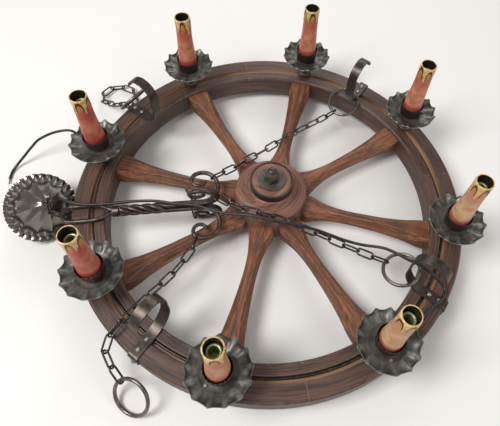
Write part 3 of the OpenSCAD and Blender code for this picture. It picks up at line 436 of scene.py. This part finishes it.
# iron band, washer, nut and stud on the nave: forged or cut steel gone grey-brown
black_iron = iron("iron_blackened_forged", "#403833", "#534943", "#8f867e", metallic=0.8,
                  rough=(0.32, 0.44), uneven=0.12)
bright_steel = iron("steel_zinc_plated_turned", "#7c7873", "#a5a09a", "#d2cfca", metallic=0.9,
                    rough=(0.3, 0.5))
stud_steel = iron("steel_dulled_cut", "#413c38", "#544e49", "#9b9076", metallic=0.7, rough=(0.36, 0.5),
                  edge=1.0)
washer_steel = iron("steel_dulled_washer", "#57524d", "#68635d", "#8f8a80", metallic=0.7)
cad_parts["nave_band"].data.materials[0] = black_iron
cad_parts["hub_washer"].data.materials[0] = washer_steel
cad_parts["hub_nut"].data.materials[0] = stud_steel
# stud with a flat head below and a cut thread above the nut
stud_r, root_r, pitch, thread_z = 8.0, 7.1, 2, 118
profile = [(0.2, 0), (19.5, 0), (20, 0.5), (20, 5.5), (19.5, 6), (stud_r, 6), (stud_r, 117)]
for level in range(thread_z, thread_z + 11 * pitch, pitch):
    profile += [(stud_r, level), (root_r, level + pitch / 2)]
profile += [(7.9, 140.2), (7.4, 142.2), (6.0, 143.9), (3.6, 145.0), (0.2, 145.3)]
stud = finish(loft("hub_stud_threaded", turned_loops(profile, 40)), 30)
keep(stud, stud_steel, "bright_steel", "wheel", "hub_bolt")

# ---------------------------------------------------------------------------
# Lamp feet, drip pans and cups. The pans are dark grey sheet steel, beaten into thirteen
# rising folds with a waved edge; the cups are brown, pressed, fluted, with a notched rim.
lamp_places = [place(a) @ place(0, (322, 0, 0)) for a in lamp_turns]
pan_level, pan_r, folds, sheet = 105.1, 48.0, 13, 1.2
fold_out, fold_up, twist_out, twist_up = 1.5, 2.5, 0.6, 0.9
around = np.arange(120) * 2 * math.pi / 120
# radius, height, and how much of the folds is there
shape = [(5.4, 0, 0), (20, 0, 0), (24.5, 0.1, 0.0), (27.5, 0.9, 0.05), (30.5, 1.9, 0.15), (33.5, 2.6, 0.3),
         (36.5, 3.3, 0.45), (39.5, 4.3, 0.62), (42.5, 5.8, 0.8), (45, 7.8, 0.92), (46.8, 10.0, 1.0)]
chance = random.Random(7)
lean = [chance.uniform(-1, 1) for _ in range(folds)]
loops, crest_wear_and_highlight = [], []
for r, z, w in shape:
    loop = []
    for a in around:
        turn = a * folds / (2 * math.pi)
        ripple = 0.5 + 0.5 * math.cos(a * folds)
        # crests are sharp, valleys are broad, and each fold leans its own way
        fold = 2 * ripple ** 2.2 - 0.85
        side = w * lean[int(turn) % folds] * math.sin(2 * math.pi * (turn % 1))
        out = r + fold_out * fold * w * r / pan_r + twist_out * side
        level = max(0.0, z + fold_up * fold * w + twist_up * side)
        loop.append((out * math.cos(a), out * math.sin(a), level))
        # lighter on the crests, partly rubbed wear and partly a painted highlight; the term at 30 mm is a painted
        # highlight ring where the floor curves up
        crest_wear_and_highlight.append(ripple ** 2 * w + 0.35 * math.exp(-((r - 30) / 3) ** 2))
    loops.append(loop)
pan = loft("drip_pans_beaten", loops, ends=False)
store = pan.data.attributes.new("crest_wear_and_highlight", "FLOAT", "POINT")
store.data.foreach_set("value", crest_wear_and_highlight)
pan = finish(pan, 60, wall=sheet)
# the wall lies below the beaten surface, so the pan is set higher by it
pan.data.transform(Matrix.Translation((0, 0, (pan_level + sheet) / 1000)))
pan_iron, tree, shader = blank("sheet_steel_beaten_lacquered", Metallic=0.6)
where = add(tree, "TexCoord", out="Object")
crest_wear_and_highlight_mask = add(tree, "Attribute", out="Fac", attribute_name="crest_wear_and_highlight")
mottle = add(tree, "TexNoise", {"Vector": where, "Scale": 60, "Detail": 5.0, "Roughness": 0.55})
mottled = add(tree, "MapRange", [mottle, 0.35, 0.65], interpolation_type="SMOOTHSTEP")
colour = add(tree, "Mix", {0: mottled, 6: "#49453f", 7: "#69655d"}, out=2, data_type="RGBA")
crest_wear_and_highlight_mask = add(tree, "MapRange", [crest_wear_and_highlight_mask, 0.15, 0.85], interpolation_type="SMOOTHSTEP")
rubbed = add(tree, "TexNoise", {"Vector": where, "Scale": 110, "Detail": 4.0, "Roughness": 0.55})
rubbed = add(tree, "MapRange", [rubbed, 0.25, 0.6], interpolation_type="SMOOTHSTEP")
rub_and_highlight = add(tree, "Math", [crest_wear_and_highlight_mask, rubbed], operation="MULTIPLY")
rub_and_highlight = add(tree, "Math", [rub_and_highlight, 0.75], operation="MULTIPLY")
# the pale grey-green on the crests is partly rubbed wear and partly a painted highlight; the ring near the cup is
# only a painted highlight
colour = add(tree, "Mix", {0: rub_and_highlight, 6: colour, 7: "#a8ada6"}, out=2, data_type="RGBA")
edges = add(tree, "MapRange", [worn_edge(tree, 1.0), 0.05, 0.3], interpolation_type="SMOOTHSTEP")
edges = add(tree, "Math", [edges, 0.7], operation="MULTIPLY")
tree.links.new(add(tree, "Mix", {0: edges, 6: colour, 7: "#9c9b94"}, out=2, data_type="RGBA"),
               shader.inputs["Base Color"])
tree.links.new(add(tree, "MapRange", {0: mottle, 3: 0.34, 4: 0.52}), shader.inputs["Roughness"])
dents = add(tree, "TexNoise", {"Vector": where, "Scale": 90, "Detail": 2.0, "Roughness": 0.55})
tree.links.new(add(tree, "Bump", {"Strength": 0.15, "Distance": 0.001, "Height": dents}),
               shader.inputs["Normal"])
keep(copies(pan, lamp_places), pan_iron, "pan_iron", "wheel", "drip_pans")
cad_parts["lamp_feet"].data.materials[0] = pan_iron
for name in ("pan_screws", "lamp_tubes", "bracket_screws"):
    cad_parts[name].data.materials[0] = bright_steel

# cup, fluted, its rim cut into notches
cup_z, flutes, flute_d, notches, notch_d = 106.6, 24, 0.45, 20, 2.0
around = np.arange(160) * 2 * math.pi / 160
# radius, height above the cup's seat, and how much of the flutes is there
outer = [(5.5, 0, 0), (15, 0, 0), (17.6, 0.7, 0), (19.2, 2.2, 0.1), (19.7, 4, 0.6), (20.2, 10, 1),
         (20.9, 17, 1), (21.5, 22, 0.6), (22, 25.9, 0.2), (20.7, 25.9, 0), (20.0, 20, 0), (19.1, 10, 0),
         (18.5, 4.5, 0), (17.6, 2.0, 0), (14, 1.5, 0), (5.5, 1.5, 0)]
loops = []
for r, z, w in outer:
    loop = []
    for a in around:
        out = r - flute_d * w * (0.5 + 0.5 * math.cos(flutes * a))
        level = cup_z + z - (notch_d * max(0.0, math.cos(notches * a)) ** 2 if z > 25 else 0.0)
        loop.append((out * math.cos(a), out * math.sin(a), level))
    loops.append(loop)
cup = finish(loft("candle_cups_fluted", loops, joined=True), 45)
cup_iron = iron("sheet_steel_pressed_brown_lacquer", "#211917", "#3a2d29", "#77706a", metallic=0.45,
                rough=(0.35, 0.5), edge=0.7)
keep(copies(cup, lamp_places), cup_iron, "cup_brown", "wheel", "candle_cups")

# ---------------------------------------------------------------------------
# Lampholders. Moulded dark plastic barrels with a stepped mouth, and a plated brass
# screw shell inside. They stop 16 mm below the sleeves' tops.
profile = [(5.1, 108.4), (8.4, 108.4), (8.5, 164), (11.4, 164.6), (11.6, 165), (11.6, 214), (11.3, 216.4),
           (11.0, 218.3), (10.5, 218.4), (10.3, 217.9), (10.2, 217.0), (8.3, 216.8), (8.3, 186), (5.1, 186)]
barrel = finish(loft("lampholder_barrels", turned_loops(profile, 48), joined=True), 35)
phenolic = iron("phenolic_moulded_dark", "#191715", "#2b2724", "#4a443d", metallic=0.0, rough=(0.3, 0.45),
                edge=0.6)
keep(copies(barrel, lamp_places), phenolic, "holder_plastic", "wheel", "lampholders")
# rolled thread of nine turns, 3 mm apart
profile = [(10.0, 217.6), (9.8, 218.0), (8.0, 218.0), (7.5, 217.4)]
for k in range(9):
    profile += [(7.5, 216.4 - 3 * k), (6.9, 214.9 - 3 * k)]
profile += [(6.8, 189), (6.2, 188), (0.3, 188)]
shell = finish(loft("lampholder_shells", turned_loops(profile, 48), ends=False), 60, wall=0.3)
plated = iron("brass_nickel_plated_rolled", "#9a9a6c", "#c4c595", "#e2e2bd", metallic=0.6, rough=(0.3, 0.45),
              edge=0.5)
keep(copies(shell, lamp_places), plated, "holder_plastic", "wheel")

# ---------------------------------------------------------------------------
# Candle sleeves. Moulded hollow tubes made to look like burnt wax: an ivory lip that has
# run down in tongues between brown-edged arches, a red blush below, pink body, red foot.
sleeve_z, length, bore, foot_r = 108.4, 126.0, 12.05, 18.0
profile = [(foot_r - 1.4, 0.1), (foot_r - 0.4, 3), (foot_r - 0.7, 7), (foot_r - 0.1, 14), (foot_r, 22),
           (17.0, 34), (16.1, 48), (15.4, 60), (14.9, 72), (14.5, 84), (14.2, 96), (14.05, 106), (14.0, 116),
           (13.85, 123.6), (13.6, 125.2), (13.1, 125.9), (12.6, 126), (12.2, 125.6), (bore, 124.6),
           (bore, 112), (bore, 60), (bore, 0.1)]
# arches of bare wax under the lip: each one's half width in turns of one arch, then, in mm below
# the lip, its roof, its feet and the end of the ivory run beside it, as least and how much more
arches, bulge = 5, 2.6
half_wide, roof_at, feet_at, runs_to = (0.26, 0.09), (4.0, 3.0), (27.0, 8.0), (20.0, 16.0)
run_edge, run_tip = (0.95, 1.1), 6.0
spreads = ((2.4, 1.9), (4.1, 3.3))
wax, tree, shader = blank("polystyrene_moulded_wax_finish", Metallic=0.0, IOR=1.46, Subsurface_Weight=0.05,
                          Subsurface_Scale=0.003)
# the pattern is drawn round each sleeve: turn counts the arches, down is mm below the lip
x, y, z = add(tree, "SeparateXYZ", {0: add(tree, "Attribute", out="Vector", attribute_name="wax")}, out=None)
seed = add(tree, "Attribute", out="Fac", attribute_name="seed")
pink = add(tree, "Attribute", out="Fac", attribute_name="pink")
where = add(tree, "TexCoord", out="Object")
cloud = add(tree, "TexNoise", {"Vector": where, "Scale": 60, "Detail": 4.0, "Roughness": 0.55})
fine_cloud = add(tree, "TexNoise", {"Vector": where, "Scale": 240, "Detail": 3.0, "Roughness": 0.55})
angle = add(tree, "Math", [y, x], operation="ARCTAN2")
turn = add(tree, "Math", [angle, arches / 2 / math.pi, seed], operation="MULTIPLY_ADD")
shake = add(tree, "Math", [fine_cloud, 0.5], operation="SUBTRACT")
shake = add(tree, "Math", [shake, 0.12], operation="MULTIPLY")
turn = add(tree, "Math", [turn, shake], operation="ADD")
down = add(tree, "Math", [(sleeve_z + length) / 1000, z], operation="SUBTRACT")
down = add(tree, "Math", [down, 1000.0], operation="MULTIPLY")
number = add(tree, "Math", [add(tree, "Math", [turn], operation="FLOOR"), arches], operation="FLOORED_MODULO")
chances = []
for rate, shift in spreads:
    shift = add(tree, "Math", [seed, shift], operation="MULTIPLY")
    wave = add(tree, "Math", [number, rate, shift], operation="MULTIPLY_ADD")
    wave = add(tree, "Math", [wave], operation="SINE")
    chances.append(add(tree, "Math", [wave, 0.5, 0.5], operation="MULTIPLY_ADD"))
chance_1, chance_2 = chances
across = add(tree, "Math", [add(tree, "Math", [turn], operation="FRACT"), 0.5], operation="SUBTRACT")
half = add(tree, "Math", [chance_1, half_wide[1], half_wide[0]], operation="MULTIPLY_ADD")
across = add(tree, "Math", [add(tree, "Math", [across], operation="ABSOLUTE"), half], operation="DIVIDE")
roof = add(tree, "Math", [chance_2, roof_at[1], roof_at[0]], operation="MULTIPLY_ADD")
feet = add(tree, "Math", [chance_1, feet_at[1], feet_at[0]], operation="MULTIPLY_ADD")
rise = add(tree, "Math", [add(tree, "Math", [feet, down], operation="SUBTRACT"),
                          add(tree, "Math", [feet, roof], operation="SUBTRACT")], operation="DIVIDE")
rise = add(tree, "Math", [rise, 0.0], operation="MAXIMUM")
arch = add(tree, "Math", [add(tree, "Math", [across, bulge], operation="POWER"),
                          add(tree, "Math", [rise, bulge], operation="POWER")], operation="ADD")
arch = add(tree, "Math", [arch, 1 / bulge], operation="POWER")
# the brown line is 1 mm wide, drawn a little wider so that it shows
line = add(tree, "Math", [add(tree, "Math", [arch, 1.0], operation="SUBTRACT")], operation="ABSOLUTE")
line = add(tree, "MapRange", [line, 0.19, 0.07], interpolation_type="SMOOTHSTEP")
above_feet = add(tree, "MapRange", [down, 31.0, 21.0], interpolation_type="SMOOTHSTEP")
line = add(tree, "Math", [line, above_feet], operation="MULTIPLY")
within = add(tree, "MapRange", [arch, 1.0, 0.85], interpolation_type="SMOOTHSTEP")
fading = add(tree, "MapRange", [down, 34.0, 12.0], interpolation_type="SMOOTHSTEP")
within = add(tree, "Math", [within, fading], operation="MULTIPLY")
tips = add(tree, "Math", [chance_2, runs_to[1], runs_to[0]], operation="MULTIPLY_ADD")
tips = add(tree, "Math", [down, tips], operation="SUBTRACT")
tips = add(tree, "MapRange", [tips, 0.0, -run_tip], interpolation_type="SMOOTHSTEP")
ivory = add(tree, "MapRange", [arch, *run_edge], interpolation_type="SMOOTHSTEP")
ivory = add(tree, "Math", [ivory, tips], operation="MULTIPLY")
clouded = add(tree, "MapRange", [cloud, 0.35, 0.65], interpolation_type="SMOOTHSTEP")
pink_body = add(tree, "Mix", {0: clouded, 6: "#a24c3d", 7: "#c07259"}, out=2, data_type="RGBA")
gold_body = add(tree, "Mix", {0: clouded, 6: "#b88f68", 7: "#d3b088"}, out=2, data_type="RGBA")
colour = add(tree, "Mix", {0: pink, 6: gold_body, 7: pink_body}, out=2, data_type="RGBA")
# red blush below the arches, stronger on the pink candles
blush = add(tree, "MapRange", [down, 8.0, 22.0], interpolation_type="SMOOTHSTEP")
for share in (add(tree, "MapRange", [down, 62.0, 30.0], interpolation_type="SMOOTHSTEP"),
              add(tree, "MapRange", [cloud, 0.3, 0.6], interpolation_type="SMOOTHSTEP"),
              add(tree, "Math", [pink, 0.45, 0.4], operation="MULTIPLY_ADD")):
    blush = add(tree, "Math", [blush, share], operation="MULTIPLY")
colour = add(tree, "Mix", {0: blush, 6: colour, 7: "#a23430"}, out=2, data_type="RGBA")
foot = add(tree, "Math", [cloud, 6.0, down], operation="MULTIPLY_ADD")
foot = add(tree, "MapRange", [foot, 95.0, 102.0], interpolation_type="SMOOTHSTEP")
for spots, share, paint in ((foot, 0.8, "#9c2f33"), (within, 0.85, "#b77d3a")):
    spots = add(tree, "Math", [spots, share], operation="MULTIPLY")
    colour = add(tree, "Mix", {0: spots, 6: colour, 7: paint}, out=2, data_type="RGBA")
aged = add(tree, "MapRange", [fine_cloud, 0.4, 0.65], interpolation_type="SMOOTHSTEP")
aged = add(tree, "Mix", {0: aged, 6: "#dabb80", 7: "#bb9150"}, out=2, data_type="RGBA")
colour = add(tree, "Mix", {0: ivory, 6: colour, 7: aged}, out=2, data_type="RGBA")
colour = add(tree, "Mix", {0: line, 6: colour, 7: "#40250f"}, out=2, data_type="RGBA")
# inside, the bore is dark: unpainted brown plastic
out = add(tree, "VectorMath", [add(tree, "CombineXYZ", [x, y])], out="Value", operation="LENGTH")
inside = add(tree, "MapRange", [out, 0.01245, 0.0122], interpolation_type="SMOOTHSTEP")
colour = add(tree, "Mix", {0: inside, 6: colour, 7: "#1d1815"}, out=2, data_type="RGBA")
tree.links.new(colour, shader.inputs["Base Color"])
tree.links.new(add(tree, "MapRange", {0: fine_cloud, 3: 0.34, 4: 0.55}), shader.inputs["Roughness"])
relief = add(tree, "Math", [line, -1.3, ivory], operation="MULTIPLY_ADD")
relief = add(tree, "Math", [cloud, 0.8, relief], operation="MULTIPLY_ADD")
tree.links.new(add(tree, "Bump", {"Strength": 0.6, "Distance": 0.0007, "Height": relief}),
               shader.inputs["Normal"])


def wax_run(a, down, seed):
    """1 where the ivory wax has run, 0 elsewhere: as in the material, but without its fine shake."""
    turn = a * (arches / 2 / math.pi) + seed
    number = math.floor(turn) % arches
    one, two = (0.5 + 0.5 * math.sin(rate * number + shift * seed) for rate, shift in spreads)
    half, roof, feet, tip = (least + more * chance for (least, more), chance in
                             ((half_wide, one), (roof_at, two), (feet_at, one), (runs_to, two)))
    across = abs(turn % 1 - 0.5) / half
    rise = max(0.0, (feet - down) / (feet - roof))
    arch = (across ** bulge + rise ** bulge) ** (1 / bulge)
    edge = min(1.0, max(0.0, (arch - run_edge[0]) / (run_edge[1] - run_edge[0])))
    return edge * min(1.0, max(0.0, (tip - down) / run_tip))


# each candle's body goes from 0, golden, to 1, red
tints = [0.8, 0.75, 0.7, 0.15, 0.1, 0.4, 0.95, 1.0]
# the long taper, made finer; on it the runs stand proud and the surface is a little uneven, in mm
run_h, uneven_h = 0.6, 0.3
outside = smooth_line([(r, z, 0) for r, z in profile[4:13]], 5)
outside = profile[:4] + [(r, z) for r, z, _ in outside] + profile[13:]
for i, tint in enumerate(tints, 1):
    seed = 0.37 * i + 1
    loops = []
    for r, z in outside:
        free = r > bore + 0.5 and 22 < z < 125.5
        loop = []
        for a in np.arange(96) * 2 * math.pi / 96:
            uneven = uneven_h * math.sin(3 * a + i) * math.sin(z / 17 + i)
            out = r + free * (uneven + run_h * wax_run(a, length - z, seed))
            loop.append((out * math.cos(a), out * math.sin(a), sleeve_z + z))
        loops.append(loop)
    sleeve = loft(f"candle_sleeve_{i}_dripped", loops, joined=True)
    wraps = sleeve.data.attributes.new("wax", "FLOAT_VECTOR", "POINT")
    for n, v in enumerate(sleeve.data.vertices):
        wraps.data[n].vector = v.co
    for key, value in (("seed", seed), ("pink", tint)):
        same = sleeve.data.attributes.new(key, "FLOAT", "POINT")
        same.data.foreach_set("value", [value] * len(sleeve.data.vertices))
    sleeve.data.transform(lamp_places[i - 1])
    keep(finish(sleeve, 50), wax, "candle_plastic", f"sleeve_{i}", f"candle_sleeve_{i}")

# ---------------------------------------------------------------------------
# Strap hooks. Four flat iron straps, 18 by 3 mm, bent over the rim's outer edge, screwed
# down, carried up and turned over at the top. Edges softened by the hammer.
rim_r, rim_top, strap_w, strap_t, gap = 350.0, 63.0, 18.0, 3.0, 0.1
corner_r, hook_x, hook_r, curl_x, curl_z, curl_r = 3.5, 312, 40, 300, 136.6, 28
half = strap_t / 2
# middle of the strap beside the rim and on it
out, level = rim_r + gap + half, rim_top + gap + half
# up the rim's side, over its edge, inwards, round the large bend, up, and over at the top
path = [(out, z) for z in np.linspace(37, 61.5, 8)]
path += [(out - corner_r + corner_r * math.cos(a), level - corner_r + corner_r * math.sin(a))
         for a in np.radians([20, 45, 70])]
path += [(x, level) for x in np.linspace(347, 316, 10)]
path += [(hook_x + hook_r * math.cos(a), level + hook_r + hook_r * math.sin(a))
         for a in np.radians(np.arange(270, 179, -6))]
path += [(hook_x - hook_r, z) for z in np.linspace(110, 132, 5)]
path += [(curl_x + curl_r * math.cos(a), curl_z + curl_r * math.sin(a))
         for a in np.radians(np.arange(180, 9, -6))]
chance = random.Random(3)
cut = 0.7
loops = []
for n, (x, z) in enumerate(path):
    ahead, behind = path[min(n + 1, len(path) - 1)], path[max(n - 1, 0)]
    run = Vector((ahead[0] - behind[0], 0, ahead[1] - behind[1])).normalized()
    face = Vector((run.z, 0, -run.x))
    last = n in (0, len(path) - 1)
    w = strap_w / 2 + chance.uniform(-0.35, 0.25) - 1.2 * last
    t = half - 0.4 * last
    loops.append([Vector((x, y, z)) + face * f for y, f in
                  ((w - cut, -t), (w, -t + cut), (w, t - cut), (w - cut, t), (0, t), (-w + cut, t),
                   (-w, t - cut), (-w, -t + cut), (-w + cut, -t), (0, -t))])
strap = finish(loft("strap", loops), 40)
strap_turns = [135 - 90 * i for i in range(4)]
hooks = copies(strap, [place(a) for a in strap_turns], [f"strap_hook_{i}" for i in range(1, 5)])
for i, made in enumerate(hooks, 1):
    keep(made, black_iron, "black_iron", "wheel", f"bracket_{i}")

# ---------------------------------------------------------------------------
# Rings and chains. Welded round bar and oval links of drawn iron wire, dull grey-brown
# with brighter metal where they rub on each other.
ring_iron = iron("iron_welded_rings_dull", "#665f59", "#7d756e", "#b9b1a9", metallic=0.85,
                 rough=(0.28, 0.38), uneven=0.1)
link_iron = iron("iron_wire_links_dull", "#3f3b39", "#625c58", "#b9b5b1", metallic=0.9,
                 rough=(0.2, 0.32), uneven=0.1)
for name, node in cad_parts.items():
    if name.startswith("big_ring"):
        node.data.materials[0] = ring_iron
    if name.startswith(("chain_", "end_link", "canopy_link")):
        node.data.materials[0] = link_iron

# ---------------------------------------------------------------------------
# Hanger. Four round bars laid together, twisted once round each other, opened into scroll
# hooks at one end and joined to a long forged eye at the other. It lies across the wheel.
straight, twist, bundle, bar_r, wound = 62.0, 78.0, 5.9, 4.0, 48
scroll_r, curl_r, bend_x, split = 28.0, 12.0, 2.0, 115
eye_l, eye_w, eye_bar, neck = 76.0, 37.0, 7.5, 27.0
hang_place = (place(-3.6, (-125, -8, rim_top + eye_bar / 2 + 4.4))
              @ Matrix.Rotation(math.radians(-1), 4, "Y"))
forged = iron("iron_forged_bars_waxed", "#3c3531", "#5c524c", "#9c938d", hammer=7, rough=(0.3, 0.45))
for i in range(4):
    line = []
    # wound part, one full turn, then straight, then the large bend as far as split, and the small curl
    for k in range(wound + 1):
        t = 2 * math.pi * k / wound
        line.append((-straight - twist + twist * k / wound, bundle * math.cos(t), bundle * math.sin(t)))
    line += [(x, bundle, 0) for x in np.linspace(-straight + 6, bend_x - 4, 7)]
    line += [(bend_x + scroll_r * math.cos(a), bundle + scroll_r + scroll_r * math.sin(a), 0)
             for a in np.radians(np.arange(-90, split, 8))]
    centre = (bend_x + (scroll_r - curl_r) * math.cos(math.radians(split)),
              bundle + scroll_r + (scroll_r - curl_r) * math.sin(math.radians(split)))
    bend_end = len(line)
    line += [(centre[0] + curl_r * math.cos(a), centre[1] + curl_r * math.sin(a), 0)
             for a in np.radians(np.arange(split, split + 231, 10))]
    curl = len(line) - bend_end
    # the curl is drawn out thinner and thickens again just before its rounded tip
    radii = [bar_r - 0.1 if k <= wound else bar_r for k in range(bend_end)]
    radii += [bar_r - 0.8 * min(1, k / 8) + (0.55 if k > curl - 3 else 0) for k in range(curl)]
    last, before = np.array(line[-1]), np.array(line[-2])
    line += [tuple(last + (last - before) * 0.8)]
    radii += [1.6]
    bar = loft(f"hanger_bar_{i + 1}_forged", bar_loops(line, radii, 14))
    bar.data.transform(hang_place @ Matrix.Rotation(math.radians(90 * i + 9), 4, "X"))
    keep(finish(bar, 50), forged, "black_iron", "wheel", f"hanger_bar_{i + 1}")
hang_l = straight + twist + neck + eye_l
r = eye_w / 2 - eye_bar / 2
x_eye = -hang_l + eye_bar / 2 + r
y_side = eye_bar / 2 + 0.2
side = smooth_line([(-straight - twist - 8, y_side, 0), (-straight - twist - 18, y_side, 0),
                    (-hang_l + eye_l * 0.97, y_side * 0.45 + r * 0.55, 0),
                    (-hang_l + eye_l * 0.8, r * 0.92, 0), (-hang_l + eye_l * 0.6, r, 0),
                    (x_eye + 8, r, 0)], 5)
line = side + [np.array((x_eye + r * math.cos(a), r * math.sin(a), 0))
               for a in np.radians(np.arange(90, 271, 9))]
line += [q * (1, -1, 1) for q in side[::-1]]
eye = loft("hanger_eye_forged", bar_loops(line, eye_bar / 2, 16))
# collar with two grooves, driven over the eye's neck
turned = ((-154, 8.2), (-153.6, 9.4), (-152, 9.9), (-149, 9.2), (-147, 9.9), (-144, 9.2), (-142.6, 9.9),
          (-142.1, 8.2))
collar = loft("collar", [[(x, out * math.cos(a), out * math.sin(a)) for a in np.arange(40) * 2 * math.pi / 40]
                         for x, out in turned])
bpy.ops.object.select_all(action="DESELECT")
collar.select_set(True)
eye.select_set(True)
bpy.context.view_layer.objects.active = eye
bpy.ops.object.join()
eye.data.transform(hang_place)
keep(finish(eye, 45), forged, "black_iron", "wheel", "hanger_eye")

# ---------------------------------------------------------------------------
# Canopy. A pressed bell with twelve sharp ribs, standing on a disc with a crimped edge,
# both of dark lacquered sheet, on a rod with an eye at each end. It lies on its side.
tilt, face, plate_r, sheet = 37, -39, 62, 1.2
gores, gore_d, crimps, crimp_h, crimp_out = 12, 0.135, 30, 1.4, 0.5
canopy_place = (place(face, (-410, 46, plate_r * math.sin(math.radians(tilt)) + sheet))
                @ Matrix.Rotation(math.radians(tilt), 4, "Y"))
around = np.arange(144) * 2 * math.pi / 144
dome = smooth_line([(4.2, 50, 0), (9, 49.2, 0.15), (16.3, 44.4, 0.55), (28, 34.6, 0.85), (38.3, 22.6, 1),
                    (45.9, 10.6, 1), (49.6, 1.4, 1)], 3)
loops = []
for r, z, w in dome:
    loop = []
    for a in around:
        out = r * (1 - gore_d * w * abs(math.sin(gores / 2 * a)) ** 0.8)
        loop.append((out * math.cos(a), out * math.sin(a), z + 1.7))
    loops.append(loop)
bell = finish(loft("canopy_bell_ribbed", loops, ends=False), 24, wall=sheet)
bell.data.transform(canopy_place)
# its pale blue-grey third colour is a painted highlight: a rim highlight along the sheet's edges and faint broad
# patches
sheet_iron = iron("sheet_steel_pressed_dark_lacquer", "#716c65", "#7a756e", "#b4bbc1", metallic=0.9,
                  rough=(0.23, 0.25), edge=1.2, coat=0.1, uneven=0.02)
keep(bell, sheet_iron, "canopy_iron", "canopy", "canopy_bell")
around = np.arange(240) * 2 * math.pi / 240
loops = []
for r, z, w in ((4.2, 0, 0), (20, 0, 0), (40, 0, 0), (50.5, 0, 0), (52.5, 0.2, 0.3), (55, 0.3, 0.8),
                (58, 0, 1.0), (60.4, -0.6, 1.0), (61.4, -1.0, 0.8)):
    loop = []
    for a in around:
        crimp = w * math.cos(crimps * a)
        out = r + crimp_out * crimp
        loop.append((out * math.cos(a), out * math.sin(a), z + crimp_h * crimp))
    loops.append(loop)
plate = finish(loft("canopy_plate_crimped", loops, ends=False), 50, wall=sheet)
plate.data.transform(canopy_place)
keep(plate, sheet_iron, "canopy_iron", "canopy", "canopy_plate")
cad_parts["canopy_rod"].data.materials[0] = forged

# ---------------------------------------------------------------------------
# Cable in the rim's groove: the same black flex, extruded in one length, laid round the
# wheel and pressed in along the groove's inner side, where it feeds the lamps.
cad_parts["rim_cable"].data.materials[0] = pvc

# ---------------------------------------------------------------------------
# Room. A plain pale floor of matt paper, a soft even sky and three wide lamps, one above
# left, one filling from the right and one from behind. None of it is part of the object.
bpy.ops.object.select_all(action="DESELECT")
bpy.ops.mesh.primitive_plane_add(size=12, location=(0, 0, 0))
floor = bpy.context.object
floor.name = "floor"
paper, tree, shader = blank("paper_backdrop_matt", Roughness=0.9)
shader.inputs["Base Color"].default_value = srgb("#e9e7e3")
floor.data.materials.append(paper)
world = bpy.data.worlds.new("soft_room")
bpy.context.scene.world = world
world.use_nodes = True
sky = world.node_tree.nodes["Background"]
sky.inputs["Color"].default_value = srgb("#f1f0ee")
sky.inputs["Strength"].default_value = 0.42
for name, spot, aim, size, power in (("key", (-1.4, -0.4, 2.2), (0, 0, 0), 1.0, 52),
                                     ("fill", (1.6, -1.5, 1.6), (0, 0, 0), 1.6, 16),
                                     ("rim_light", (0.6, 1.9, 1.3), (0, 0, 0.1), 1.0, 14)):
    bpy.ops.object.light_add(type="AREA", location=spot)
    lamp = bpy.context.object
    lamp.name = name
    lamp.data.size = size
    lamp.data.energy = power
    lamp.rotation_euler = (Vector(aim) - Vector(spot)).to_track_quat("-Z", "Y").to_euler()
